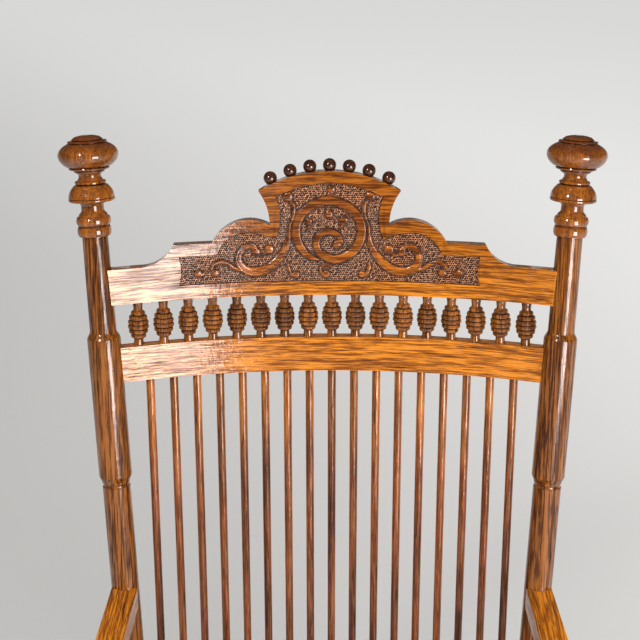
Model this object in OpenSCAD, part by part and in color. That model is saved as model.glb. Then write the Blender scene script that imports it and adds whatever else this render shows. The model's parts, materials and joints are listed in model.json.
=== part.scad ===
// Platform rocker with a stick-and-ball back.
// The upper chair stands on two curved runners, which rock on the flat side
// rails of a platform and are held to it by coil springs in iron brackets.
// Millimetres, +Z up, front towards -Y, left is -X as seen from the front.
// The origin is on the floor, under the middle of the object.

/* [Back] */
// Lean of the back from upright, degrees
back_lean = 12; // [9:1:15]
// Height of the lower edge of the crest rail above the floor
crest_h = 952; // [930:1:980]
// Distance between the post axes at the lower edge of the crest rail
post_span = 517; // [490:1:560]
// Outward splay of each back post, degrees
post_splay = 2.85; // [1:0.05:4]
// Length of a back post above the lower edge of the crest rail
post_rise = 78; // [70:1:100]
// Radius of a back post at its top
shaft_r = 14.3; // [13:0.1:15]
// Radius of a back post beside the crest rail
shaft_low_r = 15; // [14:0.1:16]
// Radius of the thick part of a back post
thick_r = 18.8; // [17:0.1:20]
// Length of the thick part of a back post
thick_len = 160; // [120:1:200]
// Radius of a back post below its thick part
long_r = 16; // [15:0.1:17]
// Radius of a post where the seat rails meet it
block_r = 19.5; // [18:0.1:21]
// Radius of the bend of the back rails
bow_r = 568; // [500:1:900]
// Thickness of the bent back rails
board_t = 18; // [14:1:20]
// Distance of a bent rail's end, on its middle line, from the post axis
end_in = 8.5; // [7:0.5:10]
// Height of the crest rail at its crown
crown_h = 143; // [141:1:146]
// Shift of the crest outline from the middle of the back
crest_shift = -3; // [-5:0.5:5]
// Depth of the sunk carved field in the crest
field_depth = 2.4; // [1:0.1:5]
// Height of the crest rail at its ends
crest_end_h = 40; // [32:1:46]
// Height of the middle and lower back rails
rail_h = 40; // [30:1:50]
// Free length of a beehive spindle
beehive_len = 50; // [44:1:60]
// Free length of a long round spindle
stick_len = 388; // [360:1:400]
// Number of spindles in each row
spindle_n = 17; // [9:2:19]
// From a back post's axis to that of the first beehive spindle
beehive_end = 39.3; // [34:0.1:60]
// From a back post's axis to that of the first long spindle, at its upper end
stick_end_top = 46; // [34:0.1:60]
// From a back post's axis to that of the first long spindle, at its lower end
stick_end_low = 33.1; // [30:0.1:60]
// Radius of a long spindle
stick_r = 4.8; // [4:0.1:6]
// Radius of a crest ball
ball_r = 7.7; // [6:0.1:9]
// Spacing of the crest balls along the crown
ball_pitch = 21.6; // [18:0.1:24]

/* [Arms] */
// Height of the top of the arms above the floor
arm_h = 625; // [600:1:650]
// Thickness of an arm
arm_t = 26; // [20:1:32]
// How far an arm reaches in front of its front post
arm_reach = 36; // [20:1:60]
// Half width of an arm at the back post
arm_rear_w = 15; // [12:1:15]
// Half width of an arm at its front
arm_front_w = 32; // [26:1:36]
// Outward shift of the front post from foot to arm
arm_flare = 40; // [20:1:50]
// Number of turned spindles under each arm
arm_spindle_n = 5; // [3:1:7]

/* [Seat] */
// Height of the top of the seat rails above the floor
seat_h = 385; // [360:1:400]
// Height of a seat rail
seat_rail_h = 60; // [45:1:70]
// Thickness of a seat rail
seat_rail_t = 28; // [24:1:30]
// Distance from the front posts to the back posts at the seat rails
seat_depth = 418; // [390:1:440]
// Distance of a front post's foot behind its place at the seat rails
post_step = 5; // [3:1:8]
// Distance that a front post leans forward from foot to arm
post_rake = 13; // [8:1:20]
// Thickness of one layer of webbing
web_t = 1.6; // [1:0.1:3]
// Width of a webbing strap
web_w = 50; // [40:1:60]
// Number of webbing straps each way
web_n = 4; // [3:1:5]
// Height of the cushion over the webbing
cushion_h = 58; // [40:1:80]

/* [Runners and platform] */
// Height of the top of the runners above the floor
runner_top = 224; // [222:1:235]
// Thickness of a runner
runner_t = 28; // [24:1:34]
// Length of a runner beyond the posts that stand on it
runner_over = 34; // [26:1:50]
// Radius of the runner's curved underside, outside its middle
runner_r = 560; // [520:10:800]
// Rocking angle each way that the runner is cut for, degrees
rock_max = 8; // [5:0.5:9]
// Height of the rocking axis above the contact with the platform
axis_rise = 20; // [12:1:30]
// Running gap between runner and platform
run_gap = 0.3; // [0.2:0.1:0.6]
// Height of the top of the platform above the floor
platform_top = 135; // [125:1:140]
// Height of a platform side rail
platform_rail_h = 60; // [50:1:70]
// Thickness of a platform side rail
platform_rail_t = 44; // [36:1:52]
// Length of the platform beyond the runner, at each end
platform_over = 62; // [40:1:90]
// Distance of a foot from the end of the platform
foot_inset = 48; // [36:1:70]
// Radius of a foot
foot_r = 28; // [22:1:32]

/* [Spring irons] */
// Thickness of the iron brackets
iron_t = 4; // [3:0.5:5]
// Height of the plate by which a bracket is screwed on
iron_plate_h = 28; // [24:1:30]
// Length of a bracket
iron_len = 116; // [104:1:140]
// Free height of a coil spring between its brackets
spring_h = 74; // [66:1:82]
// Radius of a coil to the middle of the wire
coil_r = 12; // [10:0.5:14]
// Diameter of the spring wire
wire_d = 4; // [3:0.25:4.5]
// Number of turns in a spring
coil_turns = 7; // [5:1:8]
// Distance of a spring from the rocking axis
spring_gap = 32; // [28:1:36]

/* [Fits] */
// Clearance round a glued tenon or peg
fit = 0.1; // [0.05:0.05:0.2]
// Clearance of a rail's hollowed end from its post
cope_gap = 0.15; // [0.1:0.05:0.3]
// Depth of the spindle tenons
tenon_d = 10; // [6:0.5:14]
// Radius of the round tenons of rails and stretchers
tenon_r = 7; // [5:0.5:8]

/* [Hidden] */

$fn = 64;
oak = "peru";
dark_oak = "saddlebrown";
iron = "dimgray";
steel = "silver";

// The back frame: x across, y backwards, z up along the back.
// y = 0 holds the post axes and z = 0 the lower edge of the crest rail.
mid_top = -beehive_len;
mid_low = mid_top - rail_h;
low_top = mid_low - stick_len;
low_low = low_top - rail_h;
function post_x(v) = post_span/2 + v*tan(post_splay);
function level(z) = (z - crest_h)/cos(back_lean);
bow_half = post_span/2 - end_in;
low_half = post_x(low_top - rail_h/2) - end_in;
function bow(x, half) = sqrt(bow_r*bow_r - x*x) - sqrt(bow_r*bow_r - half*half);

// Depth of the whole object, and from it the place of the back,
// so that the origin lies under the middle of the object
rail_z = seat_h - seat_rail_h/2;
foot_level = level(runner_top)*sin(back_lean);
seat_level = level(rail_z)*sin(back_lean);
runner_half = (foot_level - seat_level + seat_depth - post_step)/2 + runner_over;
platform_half = runner_half + platform_over;
ball_up = 0.76*ball_r;
back_reach = bow(0, bow_half)*cos(back_lean) + (crown_h + ball_up)*sin(back_lean) + ball_r;
foot_mid = (foot_level + seat_level - seat_depth + post_step)/2;
crest_y = -(back_reach + foot_mid - platform_half)/2;
function back_pt(x, b, v) = [x,
    crest_y + b*cos(back_lean) + v*sin(back_lean),
    crest_h - b*sin(back_lean) + v*cos(back_lean)];
function post_at(z) = back_pt(post_x(level(z)), 0, level(z));
module in_back() { translate([0, crest_y, crest_h]) rotate([-back_lean, 0, 0]) children(); }
module on_post() { translate([post_span/2, 0, 0]) rotate([0, post_splay, 0]) children(); }
module left() { mirror([1, 0, 0]) children(); }
module sides() { children(); left() children(); }

// Ends of the thick part of a back post, along the back
thick_top = mid_top + 10;
thick_low = thick_top - thick_len;

// Ground plan of the chair
back_foot = post_at(runner_top);
back_seat = post_at(rail_z);
front_foot = [back_foot[0], back_seat[1] - seat_depth + post_step, runner_top];
arm_z = arm_h - arm_t/2;
front_top = [front_foot[0] + arm_flare, front_foot[1] - post_rake, arm_h - arm_t];
function front_at(z) = front_foot
    + (front_top - front_foot)*(z - front_foot[2])/(front_top[2] - front_foot[2]);
front_seat = front_at(rail_z);
arm_back = post_at(arm_z);
runner_x = back_foot[0];
rock_y = (back_foot[1] + front_foot[1])/2;
rock_z = platform_top + run_gap + axis_rise;

// Profile helpers: each gives [radius, height] points of one turned form
function bead(z0, z1, r, h, n = 8) =
    [for (i = [0:n]) [r + h*sin(180*i/n), z0 + (z1 - z0)*(1 - cos(180*i/n))/2]];
function sweep_r(z0, z1, ra, rb, n = 6) =
    [for (i = [0:n]) [ra + (rb - ra)*(1 - cos(180*i/n))/2, z0 + (z1 - z0)*i/n]];
function hollow(z0, z1, ra, rb, d, n = 6) =
    [for (i = [0:n]) [ra + (rb - ra)*i/n - d*sin(180*i/n), z0 + (z1 - z0)*i/n]];
function swell(z0, z1, ra, rb, d, n = 8) = hollow(z0, z1, ra, rb, -d, n);
function bulb(z0, z1, zc, r, low, up, n = 12) =
    [for (i = [0:n]) let(z = z0 + (z1 - z0)*i/n, h = z < zc ? low : up)
        [r*sqrt(1 - pow((z - zc)/h, 2)), z]];

module turned(p) {
    rotate_extrude() polygon(concat([[0, p[0][1]]], p, [[0, p[len(p) - 1][1]]]));
}
module between(a, b) {
    d = b - a;
    turn = atan2(d[1], d[0]);
    translate(a) rotate([0, acos(d[2]/norm(d)), turn]) rotate([0, 0, -turn]) children();
}

// Back posts
module post_body() {
    foot = level(runner_top)/cos(post_splay);
    seat = level(rail_z)/cos(post_splay);
    turned(concat(
        [[13, foot - 20]], sweep_r(foot, foot + 22, 13, 14.5),
        bead(foot + 24, foot + 33, 15, 3), [[15, foot + 35]],
        sweep_r(foot + 36, seat - 54, 14.5, 17), bead(seat - 52, seat - 44, 17, 3.5),
        [[block_r, seat - 42], [block_r, seat + 42]],
        bead(seat + 44, seat + 52, 17, 3.5), sweep_r(seat + 54, seat + 90, 17.5, long_r),
        [[long_r, thick_low - 14], [15, thick_low - 13], [14.6, thick_low - 11.5],
        [15.4, thick_low - 10]], sweep_r(thick_low - 9, thick_low, 16, thick_r),
        sweep_r(thick_top, thick_top + 10, thick_r, shaft_low_r),
        [[shaft_r, post_rise]]));
}
module rail_tenons(gap) {
    t = 4 + gap;
    for (s = [[0, 6, 34, bow_half], [mid_low, 6, rail_h - 6, bow_half],
            [low_low, 6, rail_h - 6, low_half]])
        intersection() {
            bent_slab(s[3], t, s[0] + s[1] - gap, s[0] + s[2] + gap);
            translate([post_x(s[0]) - 22, -40, s[0]]) cube([18 + gap, 80, rail_h + 5]);
        }
}
module back_post() {
    color(oak) difference() {
        union() {
            intersection() {
                in_back() on_post() post_body();
                translate([0, -1500, runner_top]) cube([600, 3000, 1500]);
            }
            between(back_foot, post_at(runner_top - 26)) cylinder(r = 9, h = 26);
        }
        in_back() {
            rail_tenons(fit);
            on_post() translate([0, 0, post_rise - 26]) cylinder(r = 6 + fit, h = 40);
        }
        seat_joints(fit);
        stretcher_joints(fit);
        arm_joint(fit);
    }
}

// Finials
module finial() {
    color(dark_oak) in_back() on_post() translate([0, 0, post_rise]) {
        turned(concat(
            [[17.2, 0]], bead(0.4, 10.8, 17.2, 1.6), [[17.6, 11.5]],
            bead(12.2, 22, 16.8, 2.4), sweep_r(22.3, 28.6, 16.4, 12.7), [[12.5, 34]],
            [[14, 36.8], [17, 38], [24.4, 39]], bead(39.2, 42.6, 24.6, 1.2, 5),
            swell(43, 56.4, 25.4, 18.6, 1.8), [[16.6, 57.2]],
            bead(57.6, 61.6, 15.2, 2.1, 5), sweep_r(62, 65.6, 14, 12.4), [[12.4, 67.6]],
            sweep_r(68.6, 71, 13, 16.2), bead(71.2, 73.2, 16.3, 0.9, 4), [[19.6, 73.6]],
            bead(74, 77, 21.6, 1, 4), [[23.6, 77.4]],
            bulb(78, 102.4, 90.2, 33.2, 19.5, 16.3), [[21.4, 102.8]],
            bead(103, 105.2, 20.6, 1.2, 4), [[18.6, 105.6], [17, 105.8]],
            bead(106, 107.2, 16.4, 0.8, 4), [[14, 109.2], [9.6, 110.4], [4.4, 111.1]]));
        translate([0, 0, -24]) cylinder(r = 6, h = 25);
    }
}

// Bent rails
module bent_shell(half, b0, b1, v0, v1) {
    translate([0, -sqrt(bow_r*bow_r - half*half), v0]) difference() {
        cylinder(r = bow_r + b1, h = v1 - v0, $fn = 240);
        translate([0, 0, -1]) cylinder(r = bow_r + b0, h = v1 - v0 + 2, $fn = 240);
    }
}
module bent_slab(half, t, v0, v1) { bent_shell(half, -t, t, v0, v1); }
module across(y0, y1) {
    translate([0, y1, 0]) rotate([90, 0, 0]) linear_extrude(y1 - y0) children();
}
module post_cope(r, v) {
    sides() on_post() translate([0, 0, v - 60]) cylinder(r = r + fit, h = 200);
}
module joined_rail(half, v0, r) {
    end_x = post_x(v0) - r/2;
    difference() {
        intersection() {
            bent_slab(half, board_t/2, v0, v0 + rail_h);
            translate([-end_x, -board_t, v0 - 5])
                cube([2*end_x, bow(0, half) + 2*board_t, rail_h + 10]);
        }
        post_cope(r, v0);
    }
}
module tenons_at(v0, v1) {
    sides() intersection() {
        rail_tenons(0);
        translate([0, -50, v0 - 1]) cube([600, 200, v1 - v0 + 2]);
    }
}

// Crest outline over its lower edge, made of arcs as it is sawn
shoulder_x = 176;
shoulder_h = 63;
bump_x = 92;
bump_y = 42;
bump_r = 46.3;
crown_arc = 157.7;
crown_x = 80;
neck_x = 132;
neck_y = 83;
neck_r = 64;
scoop_r = 38;
scoop_x = shoulder_x + 35;
module crest_outline() {
    end_x = post_span/2 - shaft_low_r/2;
    translate([-end_x, 0]) square([2*end_x, crest_end_h]);
    translate([crest_shift, 0]) {
        translate([-shoulder_x, 0]) square([2*shoulder_x, shoulder_h]);
        for (s = [-1, 1]) {
            difference() {
                translate([s*(shoulder_x + scoop_x)/2, shoulder_h/2 + 4])
                    square([scoop_x - shoulder_x, shoulder_h - 8], center = true);
                translate([s*scoop_x, crest_end_h + scoop_r]) circle(r = scoop_r, $fn = 96);
            }
            translate([s*bump_x, bump_y]) circle(r = bump_r, $fn = 96);
        }
        intersection() {
            difference() {
                translate([-crown_x - 1, 20]) square([2*crown_x + 2, crown_h]);
                for (s = [-1, 1])
                    translate([s*neck_x, neck_y]) circle(r = neck_r, $fn = 96);
                for (s = [-1, 1])
                    translate([s*(neck_x - 32), 10]) square([60, neck_y*2], center = true);
            }
            translate([0, crown_h - crown_arc]) circle(r = crown_arc, $fn = 180);
        }
    }
}
// Sunk field, one border width inside the outline
field_x = 170;
field_low = 16;
field_side = 49.5;
field_top = 129;
module field_outline() {
    translate([crest_shift, 0]) {
        difference() {
            translate([-field_x, field_low]) square([2*field_x, field_side - field_low]);
            for (s = [-1, 1])
                translate([s*(field_x + 57.5), (field_low + field_side)/2]) circle(r = 60, $fn = 96);
        }
        for (s = [-1, 1]) {
            intersection() {
                translate([s*95, 40.3]) circle(r = 33.7, $fn = 96);
                translate([s*110, 60]) square([50, 80], center = true);
            }
            intersection() {
                translate([s*95, 6]) circle(r = 68, $fn = 96);
                translate([s*70, 55]) square([50, 60], center = true);
            }
        }
        intersection() {
            difference() {
                translate([-63, field_low]) square([126, field_top - field_low]);
                for (s = [-1, 1]) translate([s*116.3, 90]) circle(r = 60, $fn = 96);
            }
            translate([0, field_top - 131.4]) circle(r = 131.4, $fn = 180);
        }
    }
}
function spread(i) = 2*i/(spindle_n - 1) - 1;
function beehive_x(i) = spread(i)*(post_x(0) - beehive_end);
function stick_top(i) = spread(i)*(post_x(mid_low) - stick_end_top);
function stick_low(i) = spread(i)*(post_x(low_top) - stick_end_low);
function crown_angle(i) = asin((i - 3)*ball_pitch/crown_arc);

module crest_rail() {
    color(oak) in_back() {
        difference() {
            intersection() {
                bent_slab(bow_half, board_t/2, 0, crown_h + 10);
                across(-board_t, bow(0, bow_half) + board_t) crest_outline();
            }
            intersection() {
                bent_shell(bow_half, -board_t/2 - 1, -board_t/2 + field_depth, -1, crown_h + 10);
                across(-board_t, bow(0, bow_half) + board_t) field_outline();
            }
            post_cope(shaft_low_r, 0);
            for (i = [0:spindle_n - 1])
                translate([beehive_x(i), bow(beehive_x(i), bow_half), -1])
                    cylinder(r = 4 + fit, h = tenon_d + 1.5);
            for (i = [0:6]) crown_spot(i) translate([0, 0, -9]) cylinder(r = 2.5 + fit, h = 14);
        }
        tenons_at(0, crest_end_h);
    }
}
module crown_spot(i) {
    a = crown_angle(i);
    x = crest_shift + crown_arc*sin(a);
    translate([x, bow(x, bow_half), crown_h - crown_arc + crown_arc*cos(a)])
        rotate([0, a, 0]) children();
}
module crest_balls() {
    color(dark_oak) in_back() for (i = [0:6]) crown_spot(i) {
        difference() {
            translate([0, 0, ball_up]) sphere(r = ball_r);
            translate([-ball_r, -ball_r, -2*ball_r]) cube(2*ball_r);
        }
        translate([0, 0, -8.5]) cylinder(r = 2.5, h = 9);
    }
}
ring_r = [7.3, 9.5, 10.5, 10.3, 9.1, 6.7];
module beehive() {
    c = -beehive_len*0.522;
    pitch = 5.2;
    turned(concat(
        [[4, -beehive_len - tenon_d], [4, -beehive_len]],
        sweep_r(-beehive_len, c - 3.3*pitch, 5.9, 5.3, 3), [[6.2, c - 3.05*pitch]],
        [for (i = [0:5]) each
            bead(c + (i - 3)*pitch + 0.1, c + (i - 2)*pitch - 0.1, ring_r[i], 1.5, 4)],
        [[5.8, c + 3.05*pitch]], sweep_r(c + 3.3*pitch, 0, 5.1, 5.9, 3),
        [[4, 0], [4, tenon_d]]));
}
module beehive_spindles() {
    color(dark_oak) in_back() for (i = [0:spindle_n - 1])
        translate([beehive_x(i), bow(beehive_x(i), bow_half), 0]) beehive();
}
module stick_line(i) {
    a = [stick_low(i), bow(stick_low(i), low_half), low_top];
    b = [stick_top(i), bow(stick_top(i), bow_half), mid_low];
    $len = norm(b - a);
    between(a, b) children();
}
stick_tenon_r = 3.8;
module stick_holes(from) {
    for (i = [0:spindle_n - 1]) stick_line(i) translate([0, 0, from*$len - tenon_d - fit])
        cylinder(r = stick_tenon_r + fit, h = 2*tenon_d + 2*fit);
}
module middle_back_rail() {
    color(oak) in_back() {
        difference() {
            joined_rail(bow_half, mid_low, thick_r);
            for (i = [0:spindle_n - 1])
                translate([beehive_x(i), bow(beehive_x(i), bow_half), mid_top - tenon_d - 0.5])
                    cylinder(r = 4 + fit, h = tenon_d + 2);
            stick_holes(1);
        }
        tenons_at(mid_low, mid_top);
    }
}
module back_spindles() {
    end_gap = 0.15;
    color(dark_oak) in_back() for (i = [0:spindle_n - 1]) stick_line(i) {
        translate([0, 0, end_gap]) cylinder(r1 = stick_r - 0.3, r2 = stick_r, h = $len - 2*end_gap);
        translate([0, 0, -tenon_d]) cylinder(r = stick_tenon_r, h = $len + 2*tenon_d);
    }
}
module lower_back_rail() {
    color(oak) in_back() {
        difference() {
            joined_rail(low_half, low_low, long_r);
            stick_holes(0);
        }
        tenons_at(low_low, low_top);
    }
}

// Seat rails, each on the line between two posts
block_leg = 88;
spindle_out = 5;
module bar(a, b, t, h) {
    d = b - a;
    translate(a) rotate([0, 0, atan2(d[1], d[0])]) translate([0, -t/2, -h/2]) cube([norm(d), t, h]);
}
tenon_back = 8;
module side_tenons(gap) {
    d = front_seat - back_seat;
    e = d/norm(d)*(tenon_back - 1);
    between(back_seat + e, front_seat - e) translate([0, 0, -gap])
        cylinder(r = tenon_r + gap, h = norm(d - 2*e) + 2*gap);
}
module cross_tenon(p, gap) {
    translate([0, p[1], p[2]]) rotate([0, 90, 0]) cylinder(r = tenon_r + gap, h = p[0] - tenon_back + gap);
}
module seat_joints(gap) {
    side_tenons(gap);
    cross_tenon(back_seat, gap);
    cross_tenon(front_seat, gap);
}
module seat_post_cope() {
    in_back() on_post() translate([0, 0, level(seat_h) - 90]) cylinder(r = block_r + cope_gap, h = 160);
    between(front_foot, front_top) cylinder(r = block_r + cope_gap, h = 260);
}
module seat_rail_side() {
    color(oak) {
        difference() {
            bar(back_seat, front_seat, seat_rail_t, seat_rail_h);
            seat_post_cope();
            arm_spindle_bores();
        }
        difference() {
            side_tenons(0);
            translate([0, (back_seat[1] + front_seat[1])/2, 0])
                cube([1000, seat_depth - 60, 2000], center = true);
        }
    }
}
module seat_rail_cross(p) {
    color(oak) {
        difference() {
            translate([0, p[1], rail_z])
                cube([2*p[0] - seat_rail_t - 2.4, seat_rail_t, seat_rail_h], center = true);
            sides() seat_post_cope();
        }
        sides() intersection() {
            cross_tenon(p, 0);
            translate([p[0] - 32, p[1] - 50, 0]) cube([100, 100, 2000]);
        }
    }
}
module corner_blocks() {
    deep = 32;
    color(oak) sides() for (p = [[back_seat, 1], [front_seat, 0]]) difference() {
        translate([p[0][0], p[0][1], seat_h - 16 - deep]) mirror([0, p[1], 0])
            linear_extrude(deep) polygon([[0, 0], [-block_leg, 0], [0, block_leg]]);
        bar(back_seat, front_seat, seat_rail_t + 2*fit, 2*seat_rail_h);
        translate([0, p[0][1], 0]) cube([1000, seat_rail_t + 2*fit, 2000], center = true);
        seat_post_cope();
    }
}

// Webbing tacked on the rails, inside the arm spindles
web_bearing = 10;
web_from = front_seat[1] - seat_rail_t/2 + 4;
web_to = back_seat[1] + seat_rail_t/2 - 4;
function seat_x(y) = back_seat[0]
    + (front_seat[0] - back_seat[0])*(back_seat[1] - y)/(back_seat[1] - front_seat[1]);
module seat_webbing() {
    clear_y = block_r + 26;
    step_y = (web_to - web_from - 2*clear_y)/web_n;
    half_x = back_seat[0] - block_r - 8;
    step_x = 2*half_x/web_n;
    color("burlywood") {
        for (i = [0:web_n - 1]) {
            y = web_from + clear_y + (i + 0.5)*step_y;
            half = seat_x(y) - seat_rail_t/2 + web_bearing;
            translate([-half, y - web_w/2, seat_h]) cube([2*half, web_w, web_t]);
            translate([-half_x + (i + 0.5)*step_x - web_w/2, web_from, seat_h + web_t - 0.01])
                cube([web_w, web_to - web_from, web_t + 0.01]);
        }
    }
}

// Cushion: crowned, with drawn-in sides, and notched round the four posts
cushion_z = seat_h + 2*web_t;
cushion_front = front_seat[1] - seat_rail_t/2 - 6;
cushion_back = back_seat[1] + seat_rail_t/2 - 1;
cushion_gap = 2.4;
cushion_n = 72;
cushion_power = 0.2;
// Each ring: share of the half width, share of the height, how far its sides draw in
cushion_rings = [[0.5, 0, 0], [0.93, 0, 0], [0.988, 0.02, 0.3], [0.998, 0.12, 0.7], [1, 0.3, 1],
    [0.996, 0.45, 1], [0.98, 0.58, 0.9], [0.94, 0.7, 0.6], [0.86, 0.8, 0.3], [0.72, 0.89, 0.1],
    [0.54, 0.95, 0], [0.34, 0.985, 0], [0.15, 0.998, 0]];
post_spots = [for (s = [-1, 1], q = [post_at(seat_h + 18), front_at(seat_h + 18)]) [s*q[0], q[1]]];
post_room = block_r + 4.5;
function clear_of(p, i = 0) = i > 3 ? p
    : let(d = p - post_spots[i], far = norm(d))
        clear_of(far < post_room ? post_spots[i] + d*post_room/far : p, i + 1);
function cushion_pt(k, i) =
    let(a = 360*(i + 0.5)/cushion_n, c = cos(a), s = sin(a), g = cushion_rings[k],
        px = sign(c)*pow(abs(c), cushion_power), py = sign(s)*pow(abs(s), cushion_power),
        dip = 4*g[2]*(1 - pow(abs(sin(2*a)), 0.6)),
        y = (cushion_back + cushion_front)/2 + py*((cushion_back - cushion_front)/2 - dip)*g[0],
        x = px*(seat_x(y) - cushion_gap - dip)*g[0], q = clear_of([x, y]))
    [q[0], q[1], cushion_z + cushion_h*g[1]];
module seat_cushion() {
    m = len(cushion_rings);
    mid = (cushion_back + cushion_front)/2;
    pts = concat([for (k = [0:m - 1], i = [0:cushion_n - 1]) cushion_pt(k, i)],
        [[0, mid, cushion_z], [0, mid, cushion_z + cushion_h]]);
    low = m*cushion_n;
    top = (m - 1)*cushion_n;
    faces = concat(
        [for (i = [0:cushion_n - 1]) [low, i, (i + 1) % cushion_n]],
        [for (k = [0:m - 2], i = [0:cushion_n - 1]) let(j = (i + 1) % cushion_n)
            [k*cushion_n + i, (k + 1)*cushion_n + i, (k + 1)*cushion_n + j]],
        [for (k = [0:m - 2], i = [0:cushion_n - 1]) let(j = (i + 1) % cushion_n)
            [k*cushion_n + i, (k + 1)*cushion_n + j, k*cushion_n + j]],
        [for (i = [0:cushion_n - 1]) [low + 1, top + (i + 1) % cushion_n, top + i]]);
    color([0.3, 0.11, 0.07]) polyhedron(pts, faces);
}

// Front posts, which carry the arms and stand on the runners
module front_post() {
    up = norm(front_top - front_foot);
    seat = norm(front_seat - front_foot);
    color(oak) difference() {
        union() {
            intersection() {
                between(front_foot, front_top) turned(concat(
                    [[13, -14]], sweep_r(0, 20, 13, 14), bead(22, 31, 15, 3), [[14, 33]],
                    swell(34, seat - 54, 14, 17, 1.2), bead(seat - 51, seat - 43, 17, 3.5),
                    [[block_r, seat - 41], [block_r, seat + 41]],
                    bead(seat + 43, seat + 51, 17, 3.5), [[14, seat + 54]],
                    swell(seat + 58, seat + 128, 13, 12, 6), bead(seat + 131, seat + 138, 13, 3.4),
                    hollow(seat + 141, up - 34, 12, 14, 1), bead(up - 32, up - 23, 14, 3),
                    sweep_r(up - 21, up, 13, 16), [[16, up + 10]]));
                translate([0, -1500, runner_top]) cube([600, 3000, arm_h - arm_t - runner_top]);
            }
            between(front_foot, front_at(runner_top - 26)) cylinder(r = 9, h = 26);
            between(front_top, front_at(arm_h - arm_t + 16)) cylinder(r = 8, h = 16);
        }
        seat_joints(fit);
        stretcher_joints(fit);
    }
}

// Arms: flat boards that widen forwards to a rounded end
arm_from = [arm_back[0], arm_back[1] - long_r*0.5];
arm_to = [front_top[0] + 3, front_top[1] - arm_reach + arm_front_w];
function arm_mid(t) = arm_from + (arm_to - arm_from)*t;
function arm_w(t) = arm_rear_w + (arm_front_w - arm_rear_w)*(1 - cos(180*pow(t, 1.5)))/2;
arm_dir = (arm_to - arm_from)/norm(arm_to - arm_from);
arm_side = [-arm_dir[1], arm_dir[0]];
function arm_edge(s) = [for (i = [0:14]) arm_mid(i/14) + s*arm_w(i/14)*arm_side];
function arm_nose() = [for (i = [1:11])
    arm_to + arm_front_w*(cos(180*i/12)*arm_side + sin(180*i/12)*arm_dir)];
function flip(p) = [for (i = [len(p) - 1:-1:0]) p[i]];
screw_r = 2.4;
module screw_line(r, b0, b1) {
    in_back() translate([post_x(level(arm_z)), b0, level(arm_z)]) rotate([-90, 0, 0])
        cylinder(r = r, h = b1 - b0);
}
module arm_joint(gap) {
    translate([arm_back[0], arm_back[1] - 34, arm_z]) rotate([-90, 0, 0])
        cylinder(r = tenon_r + gap, h = 34 + gap);
    screw_line(screw_r + gap, -2, 40);
}
module arm() {
    color(oak) difference() {
        union() {
            difference() {
                translate([0, 0, arm_h - arm_t]) linear_extrude(arm_t)
                    polygon(concat(arm_edge(1), arm_nose(), flip(arm_edge(-1))));
                in_back() on_post() translate([0, 0, level(arm_h) - 60])
                    cylinder(r = long_r + cope_gap, h = 100);
            }
            translate([arm_back[0], arm_back[1] - 26, arm_z]) rotate([-90, 0, 0])
                cylinder(r = tenon_r, h = 25.5);
        }
        between(front_top, front_at(arm_h - arm_t + 16)) translate([0, 0, -2])
            cylinder(r = 8 + fit, h = 18.5);
        arm_spindle_bores();
        screw_line(screw_r + fit, -16, 0);
    }
}
module arm_screws() {
    head = long_r + 0.3;
    color("goldenrod") sides() {
        screw_line(screw_r, -15, head + 0.5);
        in_back() translate([post_x(level(arm_z)), head, level(arm_z)]) rotate([-90, 0, 0]) difference() {
            turned([[5, 0], [4.8, 1.2], [3.8, 2.2], [2.2, 2.9]]);
            translate([-6, -0.5, 1.6]) cube([12, 1, 2]);
        }
    }
}

// Turned spindles under the arms
function arm_spindle_t(i) = (i + 1)/(arm_spindle_n + 1);
function arm_spindle_low(i) =
    let(p = front_seat + (back_seat - front_seat)*arm_spindle_t(i)) [p[0] + spindle_out, p[1], seat_h];
function arm_spindle_top(i) =
    let(t = 0.02 + 0.86*arm_spindle_t(i) + 0.02, q = arm_mid(1 - t)) [q[0] - 2, q[1], arm_h - arm_t];
end_lift = 0.6;
module arm_spindle_line(i) {
    a = arm_spindle_low(i);
    b = arm_spindle_top(i);
    $len = norm(b - a);
    between(a, b) children();
}
module arm_spindle_bores() {
    for (i = [0:arm_spindle_n - 1]) arm_spindle_line(i) translate([0, 0, -11 - fit])
        cylinder(r = 4 + fit, h = $len + 22 + 2*fit);
}
function arm_spindle_form(h) = let(m = h/2) concat(
    [[4, -11], [4, end_lift], [6, end_lift]], sweep_r(8, 26, 6.4, 5), bead(28, 34, 6, 2.4, 6),
    [[5.4, 35]], sweep_r(37, m - 14, 5.2, 6.4), bead(m - 13, m - 9.4, 6.6, 1.8, 5),
    bead(m - 8.6, m + 8.6, 4.4, 6.4, 12), bead(m + 9.4, m + 13, 6.6, 1.8, 5),
    sweep_r(m + 14, h - 37, 6.4, 5.2), [[5.4, h - 35]], bead(h - 34, h - 28, 6, 2.4, 6),
    sweep_r(h - 26, h - 8, 5, 6.4), [[6, h - end_lift], [4, h - end_lift], [4, h + 11]]);
module arm_spindles() {
    color(dark_oak) for (i = [0:arm_spindle_n - 1]) arm_spindle_line(i) turned(arm_spindle_form($len));
}

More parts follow.
